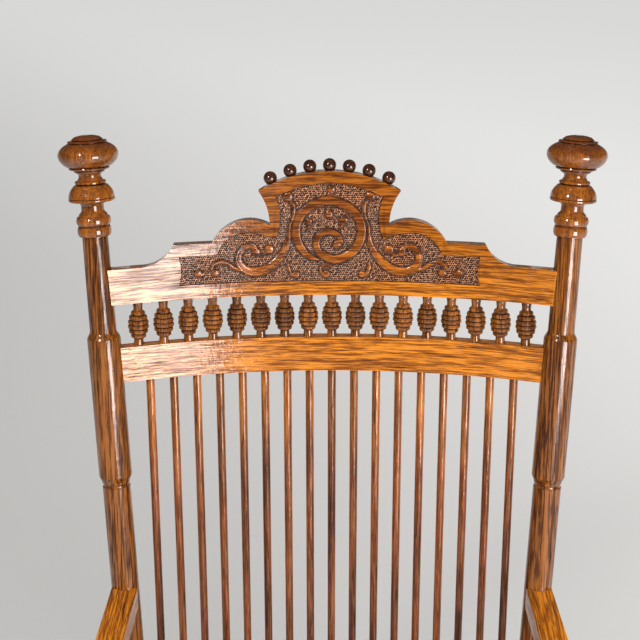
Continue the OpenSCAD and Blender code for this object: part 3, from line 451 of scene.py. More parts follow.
@dataclass(frozen=True)
class OakFinish:
    """Golden oak under a glossy varnish.

    Patches says how far the tone drifts from place to place. Shaded gives two heights, and the tints below
    and above them; on the crest rail and the sticks these tints are painted shade and light. Bent_half is half
    the width that a bent rail spans, ripple the unevenness of the varnish, and varnish how well it fills the
    pores and streaks. Deep is the painted shade in hollows and crevices, and the tint of the sawn edges.
    """

    name: str
    grain: Grain
    light: Colour
    dark: Colour
    seed: float = 0.0
    fineness: float = 1.0
    patches: float = 0.0
    shaded: tuple[float, float, Colour, Colour] | None = None
    bent_half: float = 0.0
    carved: bool = False
    coat: float = 1.0
    gloss: float = 0.15
    ripple: float = 0.6
    varnish: float = 0.45
    pore: Colour = (0.020, 0.007, 0.003)
    deep: Colour = (0.024, 0.006, 0.002)
    dust: Colour = (0.35, 0.31, 0.27)
    coat_ior: float = 1.7

    def wood(self, graph: Surface, groups: Groups) -> dict[str, Socket]:
        """Wires the colour of the wood.

        Args:
            graph: The material.
            groups: The shared groups.

        Returns:
            The sockets colour, pores, height and streak.
        """
        place = graph.place
        if self.bent_half > 0:
            turned = graph.group(groups.unbent, {"Vector": place, "Half Width": self.bent_half})
        else:
            turn = tuple(math.radians(a) for a in self.grain.value)
            turned = graph.node("ShaderNodeMapping", {"Vector": place, "Rotation": turn},
                                vector_type="POINT").outputs
        grain = graph.group(groups.grain, {"Vector": turned[0], "Fineness": self.fineness, "Seed": self.seed})
        worn = graph.group(groups.hollows)
        share = graph.add(graph.mul(grain["Streak"], 0.74), graph.mul(grain["Tone"], 0.26))
        colour = graph.mix(share, self.dark, self.light)
        # Tints below and above two heights: painted shade and light on the crest rail and the sticks
        if self.shaded is not None:
            low, high, under, over = self.shaded
            drift = graph.mul(graph.noise(graph.stretched(place, (9, 2, 2)), 1.0), 0.05)
            level = graph.step(graph.add(graph.split(place)[2], drift), low, high)
            colour = graph.tint(colour, graph.mix(level, under, over))
        if self.patches > 0:
            spread = graph.noise(graph.stretched(place, (42, 4, 5)), 1.0, 1, 0.5, self.seed)
            colour = graph.tint(colour, graph.vary(graph.step(spread, 0.34, 0.66), 1 - self.patches,
                                                   1 + self.patches * 0.35))
        # Exposed edges are lighter, for wear and as a painted highlight; hollows take painted shade in the
        # deep colour; pores are dark
        bright = tuple(min(1.0, c * 1.5) for c in self.light)
        for share, tone in ((graph.mul(worn["Edge"], 0.2), bright),
                            (graph.mul(worn["Painted Shade"], 0.9), self.deep),
                            (graph.mul(grain["Pores"], 0.82), self.pore)):
            colour = graph.mix(share, colour, tone)
        return {"colour": colour, "pores": grain["Pores"], "height": grain["Height"],
                "streak": grain["Streak"]}

    def carve(self, graph: Surface, wood: dict[str, Socket]) -> None:
        """Darkens the carving and the sawn edges of the crest rail, paints highlights and shade on its punched
        ground, and paints shade in its crevices.

        Args:
            graph: The material.
            wood: The sockets of the wood, which this changes.
        """
        carved, raised, sawn, crevice_shade = (
            graph.node("ShaderNodeAttribute", attribute_name=name).outputs["Fac"]
            for name in ("carved", "raised", "sawn", "crevice_shade"))
        low = graph.sub(1.0, graph.step(raised, 0.27, 0.45))
        ground = graph.mul(graph.step(carved, 0.3, 0.9), low)
        # Painted highlight on the tops between the punch marks, painted shade down in the marks
        punch_light_and_shade = graph.mix(graph.step(raised, 0.205, 0.262), (0.016, 0.005, 0.002), (0.58, 0.250, 0.120))
        stain = graph.mix(graph.step(raised, 0.3, 0.8), (0.16, 0.12, 0.2), (0.80, 0.74, 0.9))
        colour = graph.mix(carved, wood["colour"], graph.tint(wood["colour"], stain))
        # The punched ground takes its painted light, the crevices their painted shade, and the sawn edges the
        # deep tint
        for share, tone in ((graph.mul(ground, 0.9), punch_light_and_shade), (graph.mul(crevice_shade, 0.95), self.deep),
                            (graph.mul(sawn, 0.75), self.deep)):
            colour = graph.mix(share, colour, tone)
        fibre = graph.noise(graph.place, 1400, 2, 0.6)
        wood["colour"] = colour
        wood["height"] = graph.sub(wood["height"], graph.mul(graph.mul(fibre, ground), 1.2))
        wood["pores"] = graph.math("MAXIMUM", wood["pores"], graph.mul(ground, 0.8))

    def make(self, groups: Groups) -> Material:
        """Makes the material.

        Args:
            groups: The shared groups.

        Returns:
            The material.
        """
        graph = Surface(self.name)
        wood = self.wood(graph, groups)
        if self.carved:
            self.carve(graph, wood)
        dust = graph.group(groups.dust, {"Vector": graph.place, "Amount": 0.05})[0]
        closed = graph.sub(1.0, graph.mul(wood["pores"], 1.25 - self.varnish))
        filled = graph.vary(wood["streak"], self.varnish, 1.0)
        return graph.done({
            "Base Color": graph.mix(dust, wood["colour"], self.dust),
            "Roughness": graph.add(graph.mul(graph.noise(graph.place, 30, 4, 0.6), 0.22), 0.26),
            "Normal": graph.bump(wood["height"], 0.55, 0.00022),
            "Specular IOR Level": 0.12,
            "Coat Weight": graph.mul(graph.mul(closed, filled), self.coat),
            "Coat Roughness": self.gloss,
            "Coat IOR": self.coat_ior,
            "Coat Normal": graph.bump(graph.noise(graph.place, 150, 3, 0.55), self.ripple, 0.0006)})


@dataclass(frozen=True)
class MetalFinish:
    """Plain metal with worn edges, painted shade in its hollows and spots of age."""

    name: str
    base: Colour
    aged: Colour
    hollow_shade: Colour
    metallic: float = 1.0
    rough: float = 0.35
    spots: float = 0.5

    def make(self, groups: Groups) -> Material:
        """Makes the material.

        Args:
            groups: The shared groups.

        Returns:
            The material.
        """
        graph = Surface(self.name)
        worn = graph.group(groups.hollows, {"Reach": 0.004, "Edge Reach": 0.0008})
        blotch = graph.step(graph.noise(graph.place, 140, 5, 0.65), 0.44, 0.68)
        fine = graph.noise(graph.place, 1500, 3, 0.6)
        bright = tuple(min(1.0, c * 1.7 + 0.02) for c in self.base)
        colour: Any = self.base
        # Spots of age, lighter worn edges and painted shade in the hollows
        for share, tone in ((graph.mul(blotch, self.spots), self.aged),
                            (graph.mul(worn["Edge"], 0.6), bright),
                            (graph.mul(worn["Painted Shade"], 0.75), self.hollow_shade)):
            colour = graph.mix(share, colour, tone)
        return graph.done({
            "Base Color": colour, "Metallic": self.metallic,
            "Roughness": graph.add(graph.mul(blotch, 0.22),
                                   graph.vary(fine, self.rough - 0.08, self.rough + 0.1)),
            "Normal": graph.bump(graph.add(fine, blotch), 0.35, 0.00012)})


@dataclass(frozen=True)
class VelvetFinish:
    """Dark red pile velvet, paler and flatter where it is sat on."""

    name: str
    pile: Colour
    rubbed: Colour
    shade: Colour

    def make(self, groups: Groups) -> Material:
        """Makes the material.

        Args:
            groups: The shared groups.

        Returns:
            The material.
        """
        graph = Surface(self.name)
        nap = graph.noise(graph.stretched(graph.place, (1, 0.6, 1)), 24, 4, 0.6, 2.0, 0.8)
        pressed = graph.step(graph.noise(graph.place, 9, 2, 0.5, 5.0), 0.42, 0.7)
        fibre = graph.noise(graph.place, 2600, 2, 0.6)
        rows = graph.node("ShaderNodeTexWave", {"Vector": graph.place, "Scale": 330.0, "Distortion": 1.2,
                                                "Detail": 1.0}, bands_direction="Y").outputs["Fac"]
        worn = graph.group(groups.hollows, {"Reach": 0.014, "Edge Reach": 0.004})
        colour = graph.mix(graph.step(nap, 0.25, 0.62), self.shade, self.pile)
        colour = graph.mix(graph.mul(pressed, 0.4), colour, self.rubbed)
        # Painted shade in the pad's hollows, from the hollow mask
        colour = graph.mix(graph.mul(worn["Painted Shade"], 0.6), colour, self.shade)
        return graph.done({
            "Base Color": graph.tint(colour, graph.vary(fibre, 0.72, 1.2)),
            "Roughness": graph.vary(nap, 0.82, 1.0),
            "Normal": graph.bump(graph.add(graph.mul(fibre, 0.8), graph.mul(rows, 0.35)), 0.5, 0.0004),
            "Specular IOR Level": 0.25, "Sheen Weight": 0.4, "Sheen Roughness": 0.38,
            "Sheen Tint": (1.0, 0.62, 0.6, 1.0)})


@dataclass(frozen=True)
class ThreadFinish:
    """Woven thread of a pitch, for gimp and jute webbing."""

    name: str
    base: Colour
    shade: Colour
    pitch: float
    dust: Colour = (0.4, 0.36, 0.3)

    def make(self, groups: Groups) -> Material:
        """Makes the material.

        Args:
            groups: The shared groups.

        Returns:
            The material.
        """
        graph = Surface(self.name)
        bands = 1.0 / (self.pitch * 2 * math.pi) * 3.0
        warp, weft = (
            graph.node("ShaderNodeTexWave", {"Vector": graph.place, "Scale": bands, "Distortion": 0.6},
                       bands_direction=way).outputs["Fac"] for way in ("X", "Y"))
        weave = graph.mul(graph.add(warp, weft), 0.5)
        fuzz = graph.noise(graph.place, 900, 3, 0.65)
        share = graph.step(graph.add(graph.mul(weave, 0.7), graph.mul(fuzz, 0.3)), 0.25, 0.7)
        colour = graph.mix(share, self.shade, self.base)
        # Painted shade in the hollows of the thread
        colour = graph.mix(graph.mul(graph.group(groups.hollows)["Painted Shade"], 0.6), colour, self.shade)
        dust = graph.group(groups.dust, {"Vector": graph.place, "Amount": 0.2})[0]
        return graph.done({
            "Base Color": graph.mix(dust, colour, self.dust), "Roughness": graph.vary(fuzz, 0.75, 0.95),
            "Normal": graph.bump(graph.add(weave, fuzz), 0.7, 0.0005)})


Finish = OakFinish | MetalFinish | VelvetFinish | ThreadFinish


# Mesh helpers


def add_object(name: str, data: Any) -> Piece:
    """Makes an object at the origin.

    Args:
        name: The object's name.
        data: Its mesh, lamp or camera.

    Returns:
        The object.
    """
    made = bpy.data.objects.new(name, data)
    bpy.context.scene.collection.objects.link(made)
    return made


def new_object(name: str, points: Any, faces: Sequence[Sequence[int]], finish: Material | None = None,
               sharp: float | None = 40.0, edges: Sequence[Sequence[int]] = ()) -> Piece:
    """Makes a mesh object at the origin.

    Args:
        name: The object's name.
        points: Its vertices.
        faces: Its faces.
        finish: Its material.
        sharp: Angle in degrees past which an edge stays sharp, or None for flat faces.
        edges: Its loose edges.

    Returns:
        The object.
    """
    mesh = bpy.data.meshes.new(name)
    mesh.from_pydata(np.asarray(points, float).tolist(), edges, faces)
    mesh.update()
    made = add_object(name, mesh)
    if finish is not None:
        mesh.materials.append(finish)
    if sharp is not None:
        shade(made, sharp)
    return made


def shade(obj: Piece, sharp: float) -> None:
    """Smooths the faces that meet below an angle in degrees."""
    obj.data.shade_smooth()
    obj.data.set_sharp_from_angle(angle=math.radians(sharp))


def outwards(obj: Piece) -> None:
    """Merges doubles and turns all the faces outwards.

    Args:
        obj: The mesh that changes.
    """
    work = bmesh.new()
    work.from_mesh(obj.data)
    bmesh.ops.remove_doubles(work, verts=work.verts, dist=SAME_POINT)
    bmesh.ops.recalc_face_normals(work, faces=work.faces)
    work.to_mesh(obj.data)
    work.free()


def merged_copy(node: str, name: str) -> Piece:
    """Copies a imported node's mesh with its doubles merged.

    Args:
        node: The node.
        name: The copy's name.

    Returns:
        The copy, without a parent.
    """
    mesh = bpy.data.meshes.new(name)
    work = bmesh.new()
    work.from_mesh(frame["nodes"][node].data)
    bmesh.ops.remove_doubles(work, verts=work.verts, dist=PACKED_POINT)
    bmesh.ops.dissolve_degenerate(work, edges=work.edges, dist=SAME_POINT)
    work.to_mesh(mesh)
    work.free()
    return add_object(name, mesh)


def places_of(obj: Piece) -> np.ndarray:
    """The vertices of a mesh, one row each."""
    return np.array([v.co for v in obj.data.vertices])


def move_to(obj: Piece, co: np.ndarray) -> None:
    """Moves the vertices of a mesh."""
    obj.data.vertices.foreach_set("co", co.ravel())
    obj.data.update()


def wear_only(obj: Piece, finish: Material) -> None:
    """Gives a mesh one material in place of those that it has."""
    obj.data.materials.clear()
    obj.data.materials.append(finish)


def apply_modifiers(obj: Piece) -> None:
    """Turns what the modifiers give into the object's own mesh.

    Args:
        obj: The object.
    """
    graph = bpy.context.evaluated_depsgraph_get()
    mesh = bpy.data.meshes.new_from_object(obj.evaluated_get(graph))
    obj.modifiers.clear()
    obj.data = mesh


def joined_boolean(obj: Piece, other: Piece, operation: str) -> None:
    """Changes obj by a boolean with another closed mesh, which is then removed.

    Args:
        obj: The mesh that changes.
        other: The mesh that it is joined or cut with.
        operation: UNION, INTERSECT or DIFFERENCE.
    """
    cut = obj.modifiers.new("cut", "BOOLEAN")
    cut.object = other
    cut.operation = operation
    cut.solver = "MANIFOLD"
    apply_modifiers(obj)
    bpy.data.objects.remove(other)


def smooth_line(points: Sequence[Sequence[float]], step: float) -> np.ndarray:
    """Runs a Catmull-Rom curve through points.

    Args:
        points: The points, with any further values such as a width.
        step: Spacing of the samples, in the unit of the first two values.

    Returns:
        One row for each sample.
    """
    given = np.asarray(points, float)
    ends = np.vstack([2 * given[0] - given[1], given, 2 * given[-1] - given[-2]])
    out = []
    for i in range(1, len(ends) - 2):
        p0, p1, p2, p3 = ends[i - 1:i + 3]
        count = max(2, int(np.linalg.norm((p2 - p1)[:2]) / step))
        t = (np.arange(count) / count)[:, None]
        out.append(0.5 * (2 * p1 + (p2 - p0) * t + (2 * p0 - 5 * p1 + 4 * p2 - p3) * t ** 2
                          + (3 * p1 - p0 - 3 * p2 + p3) * t ** 3))
    return np.vstack([*out, given[-1:]])


def settle(obj: Piece, body: Body, slot: str, *nodes: str) -> None:
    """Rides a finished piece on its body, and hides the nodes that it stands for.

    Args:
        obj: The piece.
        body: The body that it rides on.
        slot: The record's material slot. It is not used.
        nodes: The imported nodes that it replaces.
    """
    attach(obj, body.value)
    if nodes:
        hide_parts(*nodes)
    log.info("%s: %d faces on %s", obj.name, len(obj.data.polygons), body.value)


# Geometry trees for what repeats


def fasteners_tree() -> Tree:
    """Sets one head on each point, facing along the point's own direction.

    Returns:
        The geometry group, with inputs for the head, its size, unevenness, seed and material.
    """
    graph, given, out = new_group(
        "fasteners_on_points", "GeometryNodeTree",
        {"Geometry": ("Geometry", None), "Head": ("Object", None), "Size": ("Float", 1.0),
         "Unevenness": ("Float", 0.05), "Seed": ("Int", 1), "Finish": ("Material", None)},
        {"Geometry": "Geometry"})
    head = graph.node("GeometryNodeObjectInfo", {"Object": given["Head"]})
    points = graph.node("GeometryNodeMeshToPoints", {"Mesh": given["Geometry"]})
    facing = graph.node("GeometryNodeInputNamedAttribute", {"Name": "facing"}, data_type="FLOAT_VECTOR")
    aim = graph.node("FunctionNodeAlignRotationToVector", {"Vector": facing.outputs["Attribute"]}, axis="Z")
    low, high = graph.sub(1.0, given["Unevenness"]), graph.add(1.0, given["Unevenness"])
    spin, uneven = (graph.node("FunctionNodeRandomValue", {"Seed": given["Seed"], 2: least, 3: most},
                               data_type="FLOAT").outputs[1]
                    for least, most in ((0.0, math.tau), (low, high)))
    own = graph.node("FunctionNodeAxisAngleToRotation", {"Axis": (0, 0, 1), "Angle": spin})
    turn = graph.node("FunctionNodeRotateRotation", {"Rotation": aim.outputs[0], "Rotate By": own.outputs[0]},
                      rotation_space="LOCAL")
    placed = graph.node("GeometryNodeInstanceOnPoints", {
        "Points": points.outputs[0], "Instance": head.outputs["Geometry"], "Rotation": turn.outputs[0],
        "Scale": graph.mul(uneven, given["Size"])})
    return finished_tree(graph, placed, given["Finish"], out)


def cords_tree() -> Tree:
    """Sweeps a round cord along each line of a mesh.

    Returns:
        The geometry group, with inputs for the radius, the number of sides and the material.
    """
    graph, given, out = new_group(
        "cords_on_lines", "GeometryNodeTree",
        {"Geometry": ("Geometry", None), "Radius": ("Float", 0.001), "Sides": ("Int", 8),
         "Finish": ("Material", None)},
        {"Geometry": "Geometry"})
    line = graph.node("GeometryNodeMeshToCurve", {"Mesh": given["Geometry"]})
    ring = graph.node("GeometryNodeCurvePrimitiveCircle", {"Resolution": given["Sides"],
                                                           "Radius": given["Radius"]})
    tube = graph.node("GeometryNodeCurveToMesh", {"Curve": line.outputs[0], "Profile Curve": ring.outputs[0],
                                                  "Fill Caps": True})
    return finished_tree(graph, tube, given["Finish"], out)


def finished_tree(graph: Graph, last: Node, finish: Socket, out: Node) -> Tree:
    """Ends a geometry group with real geometry that wears a material.

    Args:
        graph: The group's graph.
        last: The node whose geometry it is.
        finish: The socket that gives the material.
        out: The group's output node.

    Returns:
        The group.
    """
    real = graph.node("GeometryNodeRealizeInstances", {"Geometry": last.outputs[0]})
    done = graph.node("GeometryNodeSetMaterial", {"Geometry": real.outputs[0], "Material": finish})
    graph.feed(out, {0: done.outputs[0]})
    graph.tree.is_modifier = True
    return graph.tree


@dataclass
class Trees:
    """The geometry groups, and what they are run on."""

    fasteners: Tree = field(default_factory=fasteners_tree)
    cords: Tree = field(default_factory=cords_tree)

    def run(self, obj: Piece, tree: Tree, values: dict[str, Any], sharp: float = 50.0) -> None:
        """Runs a geometry group on an object and keeps the plain mesh.

        Args:
            obj: The object that holds the points or lines.
            tree: The geometry group.
            values: Its inputs by name.
            sharp: Angle in degrees past which an edge stays sharp.
        """
        made = obj.modifiers.new("tree", "NODES")
        made.node_group = tree
        for item in tree.interface.items_tree:
            if item.in_out == "INPUT" and item.name in values:
                made[item.identifier] = values[item.name]
        apply_modifiers(obj)
        shade(obj, sharp)

    def heads(self, name: str, head: Piece, places: np.ndarray, facing: np.ndarray, values: dict[str, Any],
              sharp: float = 50.0) -> Piece:
        """Sets a head on each place.

        Args:
            name: The piece's name.
            head: The pattern, which is then removed.
            places: One row for each head.
            facing: The direction that each head faces.
            values: Further inputs of the fastener group.
            sharp: Angle in degrees past which an edge stays sharp.

        Returns:
            The piece.
        """
        made = new_object(name, places, [], sharp=None)
        layer = made.data.attributes.new("facing", "FLOAT_VECTOR", "POINT")
        layer.data.foreach_set("vector", np.asarray(facing, np.float32).ravel())
        self.run(made, self.fasteners, {"Head": head, **values}, sharp)
        bpy.data.objects.remove(head)
        return made

    def tubes(self, name: str, lines: Sequence[np.ndarray], closed: bool, radius: float, sides: int,
              finish: Material) -> Piece:
        """Sweeps a round cord along each line.

        Args:
            name: The piece's name.
            lines: One row of points for each line.
            closed: Whether each line is a loop.
            radius: The cord's radius.
            sides: Number of sides of the cord.
            finish: Its material.

        Returns:
            The piece.
        """
        edges, start = [], 0
        for line in lines:
            count = len(line)
            edges += [(start + i, start + (i + 1) % count) for i in range(count if closed else count - 1)]
            start += count
        made = new_object(name, np.vstack(lines), [], sharp=None, edges=edges)
        self.run(made, self.cords, {"Radius": radius, "Sides": sides, "Finish": finish})
        return made


def turned_form(profile: Sequence[Plan], sides: int) -> tuple[np.ndarray, list[list[int]]]:
    """Turns a profile of (radius, height) about Z, closed at both ends.

    Args:
        profile: The profile, upwards.
        sides: Number of sides.

    Returns:
        Points and faces.
    """
    angle = np.arange(sides) * math.tau / sides
    rows = [np.stack([r * np.cos(angle), r * np.sin(angle), np.full(sides, z)], 1) for r, z in profile]
    faces = [[k * sides + i, k * sides + (i + 1) % sides, (k + 1) * sides + (i + 1) % sides,
              (k + 1) * sides + i] for k in range(len(profile) - 1) for i in range(sides)]
    last = (len(profile) - 1) * sides
    faces += [list(range(sides - 1, -1, -1)), [last + i for i in range(sides)]]
    return np.vstack(rows), faces


def screw_head(radius: float, rise: float) -> Piece:
    """Makes a domed screw head with a slot, facing Z.

    Args:
        radius: The head's radius.
        rise: Its height.

    Returns:
        The pattern of the head.
    """
    dome = ((1, -0.3), (1, 0), (0.96, 0.38), (0.78, 0.76), (0.42, 0.97), (0.1, 1))
    head = new_object("screw_pattern", *turned_form([(r * radius, z * rise) for r, z in dome], 32))
    corners = [(x, y, z) for x in (-radius * 1.2, radius * 1.2) for y in (-radius * 0.1, radius * 0.1)
               for z in (rise * 0.45, rise * 1.5)]
    sides = [[0, 1, 3, 2], [4, 6, 7, 5], [0, 4, 5, 1], [2, 3, 7, 6], [0, 2, 6, 4], [1, 5, 7, 3]]
    slot = new_object("screw_slot", corners, sides, sharp=None)
    outwards(slot)
    joined_boolean(head, slot, "DIFFERENCE")
    return head


def nail_head() -> Piece:
    """Makes a domed nail head one unit in radius, facing Z."""
    dome = [(1.0, -0.3), (1.0, 0.0), (0.97, 0.12), (0.82, 0.36), (0.55, 0.54), (0.22, 0.63), (0.04, 0.65)]
    return new_object("nail_pattern", *turned_form(dome, 14))


# The carved crest


@dataclass(frozen=True)
class Stroke:
    """One raised scroll or bud of the carving: points of x, v and width in millimetres."""

    path: Sequence[Sequence[float]]
    rise: float = 2.0
    flat: float = 0.0
    mirrored: bool = False
    groove: float = 0.0
    spacing: float = 0.35

    def samples(self) -> np.ndarray:
        """Points along the stroke, with widths."""
        return smooth_line(self.path, self.spacing) if len(self.path) > 1 else np.asarray(self.path, float)

    def form(self, d: np.ndarray, r: float) -> np.ndarray:
        """Height at distances d, in units of the radius r, from the middle line; thin strokes lie lower."""
        d = np.clip((d - self.flat) / (1 - self.flat), 0, 1)
        return self.rise * np.sqrt(np.clip(1 - d ** 2, 0, 1)) * min(1.0, 0.4 + r / 3.0)


def bud(x: float, v: float, radius: float, rise: float = 2.2, mirrored: bool = False) -> Stroke:
    """A round bud of the carving."""
    return Stroke([(x, v, 2 * radius)], rise, 0.25, mirrored)


@dataclass
class CrestCarving:
    """The crest rail with its scrolls on a punched ground, laid out in millimetres.

    The grid covers across and upwards. The strokes' own v starts a lift below the rail's lower edge. Ground
    is the depth of the sunk field, bed the height over it of the bottom between the strokes, and cut the
    depth where the field's wall ends. A punch mark's radius and depth are drawn between two values.
    """

    middle: float = -3.3
    across: Plan = (-176.0, 170.1)
    upwards: Plan = (32.0, 149.4)
    ground: float = 2.4
    bed: float = 0.62
    cut: float = 4.0
    pitch: float = 0.6
    lift: float = 18.0
    punch_pitch: float = 2.35
    punch_shift: float = 0.2
    punch_radius: Plan = (0.9, 1.2)
    punch_depth: Plan = (0.4, 0.58)
    groove_from: float = 6.0
    groove_radius: float = 1.0
    groove_depth: float = 0.75
    field_shift: float = -3.0
    prism_ends: Plan = (-40 * MM, 90 * MM)
    inner_edge: float = 1.8 * MM
    # The wall values place the painted shade along the field's wall; blur spreads the painted shade at the
    # foot of the strokes
    wall_from: float = 1.4 * MM
    wall_fade: float = 2.0 * MM
    wall_depth: float = 0.8
    sawn_from: float = 1.2
    sawn_fade: float = 2.0
    face_reach: float = 0.12
    blur: int = 12
    x: np.ndarray = field(init=False)
    v: np.ndarray = field(init=False)
    crevice_shade: np.ndarray = field(init=False)

    def __post_init__(self) -> None:
        """Lays the grid that holds the relief."""
        self.x = np.arange(*self.across, self.pitch)
        self.v = np.arange(*self.upwards, self.pitch)

    def strokes(self) -> list[Stroke]:
        """Every scroll, stem and bud.

        Returns:
            The strokes, those that are mirrored first.
        """
        ring = [(-14, 58.5, 1.4), (-27, 64, 7), (-37, 76, 10), (-41.2, 92, 10.6), (-37, 108, 10.6),
                (-27, 119.5, 10.6), (-13.5, 125.6, 10.6), (-3, 126.8, 10.6), (10, 124.3, 10.6),
                (22, 117, 10.6), (30.3, 107, 10.6), (33.8, 94, 10.6), (31.4, 80, 10.6), (23.6, 68.5, 10.4),
                (12.5, 61.8, 10), (2, 59.6, 9.6), (-8, 62.6, 9), (-15, 69, 8.4), (-18, 78, 8),
                (-14.6, 87, 8), (-6.2, 91.6, 7.6), (2, 90.6, 7), (8, 86, 6.4), (10, 80, 6)]
        scroll = [(-46.6, 127, 2.4), (-43.4, 122, 4.4), (-43.2, 114, 4.6), (-45.4, 106, 4), (-48.6, 97, 3.4),
                  (-48.8, 88, 4.6), (-51, 77, 7.2), (-57, 65.6, 9.4), (-66.4, 55, 10.8), (-78, 47.8, 11.4),
                  (-90.6, 46.4, 11.2), (-99.6, 50.4, 10.6), (-104.8, 57, 9.8), (-105.8, 64, 9),
                  (-103, 70.6, 8.2), (-98, 75.2, 7.6), (-92, 76.8, 7), (-87.6, 74, 6.4)]
        both = [
            Stroke(scroll, 2.35, 0.1, True, 0.42),
            Stroke([(-84, 66.4, 3), (-79, 65, 3.2), (-75, 68.6, 4)], 1.5, 0, True),
            Stroke([(-49.4, 58, 2.2), (-49.4, 50, 4), (-46.6, 43, 5), (-41.6, 42, 7)], 1.9, 0, True),
            Stroke([(-96, 46, 2), (-110, 50.6, 4.6), (-118.4, 56.6, 5.6), (-127, 59, 5.6),
                    (-134.4, 56, 5), (-136.8, 50.6, 4)], 1.9, 0, True),
            Stroke([(-158, 51, 1.4), (-153.6, 45.8, 4), (-147.6, 44.8, 4.4), (-142, 50, 1.6)], 1.7, 0, True)]
        both += [bud(x, v, radius, mirrored=True) for x, v, radius in (
            (-86, 69.4, 5.2), (-71.4, 71.6, 5.8), (-49.6, 132, 6.2), (-40.6, 42.6, 4.2),
            (-131.8, 46.6, 4.8), (-150.6, 47.4, 4.2))]
        alone = [
            Stroke(ring, 2.3, 0.62),
            bud(5.4, 76.4, 5.2, 2.3),
            Stroke([(-7, 132.6, 1.6), (-1.2, 134, 6.4), (4.6, 132.8, 1.6)], 1.6),
            Stroke([(-24, 100.4, 4), (-27.6, 95, 3.6), (-30.6, 89, 1.6)], 1.5),
            Stroke([(-11.4, 108, 1.4), (-3.2, 118.4, 4), (4, 116.6, 1.4)], 1.5),
            Stroke([(12, 100, 6), (9.6, 96.4, 3.6), (7.4, 94.6, 1.6)], 1.7),
            Stroke([(-13.6, 52.4, 2), (-13, 44.8, 4.4), (-7.6, 42, 6)], 1.8),
            Stroke([(-12, 50.6, 3.4), (-5.6, 53, 4), (2, 50.6, 2.2)], 1.6)]
        alone += [bud(x, v, radius) for x, v, radius in (
            (-1, 140.4, 5), (-26, 103.4, 4.4), (-3.4, 111.4, 5), (13, 104.6, 5.8), (-6.4, 42.8, 4.6))]
        return both + alone

    def stamp(self, height: np.ndarray, x: float, v: float, r: float,
              form: Callable[[np.ndarray], np.ndarray]) -> None:
        """Raises a field to a round form where that is higher.

        Args:
            height: The field, which this changes.
            x: The form's middle, across.
            v: The form's middle, up.
            r: Its radius.
            form: Gives its height for distances in units of the radius.
        """
        i0, i1 = np.searchsorted(self.x, (x - r, x + r))
        j0, j1 = np.searchsorted(self.v, (v - r, v + r))
        if i1 > i0 and j1 > j0:
            part = height[j0:j1, i0:i1]
            d = np.hypot(self.x[None, i0:i1] - x, self.v[j0:j1, None] - v) / r
            np.maximum(part, form(d), out=part)

    def relief(self) -> np.ndarray:
        """Raises all the strokes.

        Returns:
            Heights in millimetres, one row for each v.
        """
        height = np.zeros((len(self.v), len(self.x)))
        for stroke in self.strokes():
            for x, v, width in stroke.samples():
                for at in (x, 2 * self.middle - x) if stroke.mirrored else (x,):
                    self.stamp(height, at, v, width / 2, lambda d: stroke.form(d, width / 2))
        for stroke in self.strokes():
            if stroke.groove > 0:
                self.gouge(height, stroke)
        return height

    def gouge(self, height: np.ndarray, stroke: Stroke) -> None:
        """Cuts a narrow groove along the inner side of a mirrored stroke, where it is wide.

        Args:
            height: The relief, which this changes.
            stroke: The stroke.
        """
        line = stroke.samples()
        along = np.gradient(line[:, :2], axis=0)
        along /= np.linalg.norm(along, axis=1, keepdims=True)
        inner = np.stack([-along[:, 1], along[:, 0]], 1)
        track = line[:, :2] + inner * line[:, 2:3] * 0.5 * stroke.groove
        cut = np.zeros_like(height)
        for x, v in track[line[:, 2] >= self.groove_from]:
            for at in (x, 2 * self.middle - x):
                self.stamp(cut, at, v, self.groove_radius,
                           lambda d: self.groove_depth * np.clip(1 - d ** 2, 0, 1))
        height -= np.minimum(cut, np.maximum(height - self.bed, 0))

    def punched(self) -> np.ndarray:
        """Punches the ground with marks that are flat at their bottom, from a fixed seed.

        Returns:
            Depths in millimetres, one row for each v.
        """
        rng = np.random.default_rng(7)
        depth = np.zeros((len(self.v), len(self.x)))
        step, shift = self.punch_pitch, self.punch_shift
        for row, v in enumerate(np.arange(self.v[0], self.v[-1], step)):
            for x in np.arange(self.x[0] + (row % 2) * step / 2, self.x[-1], step):
                at = x + rng.normal(0, shift), v + rng.normal(0, shift), rng.uniform(*self.punch_radius)
                self.stamp(depth, *at, lambda d: rng.uniform(*self.punch_depth)
                           * np.clip(1.25 - 1.25 * d ** 2, 0, 1))
        return depth

    def block(self) -> Piece:
        """Makes the carved ground as a closed block with its back inside the rail.

        Returns:
            The block.
        """
        x, v = self.x, self.v
        height = self.relief()
        level = np.maximum(height, self.bed) - np.where(height < self.bed + 0.1, self.punched(), 0)
        # Painted shade on the ground near the foot of each stroke
        near = self.blurred(np.maximum(height, self.bed)) - self.bed
        self.crevice_shade = np.clip((near - 0.03) / 0.16, 0, 1) * (height < self.bed + 0.3)
        cols, rows = len(x), len(v)
        gx, gv = np.meshgrid(x, v)
        front = BACK.at_depth(gx * MM, (self.ground - level) * MM)
        top = BACK.points(gx * MM, front, (gv - self.lift) * MM).reshape(-1, 3)
        low, high = (BACK.points(x * MM, BACK.bow(x * MM), np.full(cols, (end - self.lift) * MM))
                     for end in (v[0], v[-1]))
        base, last = rows * cols, (rows - 1) * cols
        faces = [[j * cols + i, j * cols + i + 1, (j + 1) * cols + i + 1, (j + 1) * cols + i]
                 for j in range(rows - 1) for i in range(cols - 1)]
        for i in range(cols - 1):
            faces += [[base + i, base + cols + i, base + cols + i + 1, base + i + 1],
                      [i, base + i, base + i + 1, i + 1],
                      [last + i, last + i + 1, base + cols + i + 1, base + cols + i]]
        faces.append([j * cols for j in range(rows)] + [base + cols, base])
        faces.append([base + cols - 1, base + 2 * cols - 1]
                     + [j * cols + cols - 1 for j in range(rows - 1, -1, -1)])
        made = new_object("carved_block", np.vstack([top, low, high]), faces, sharp=None)
        outwards(made)
        return made

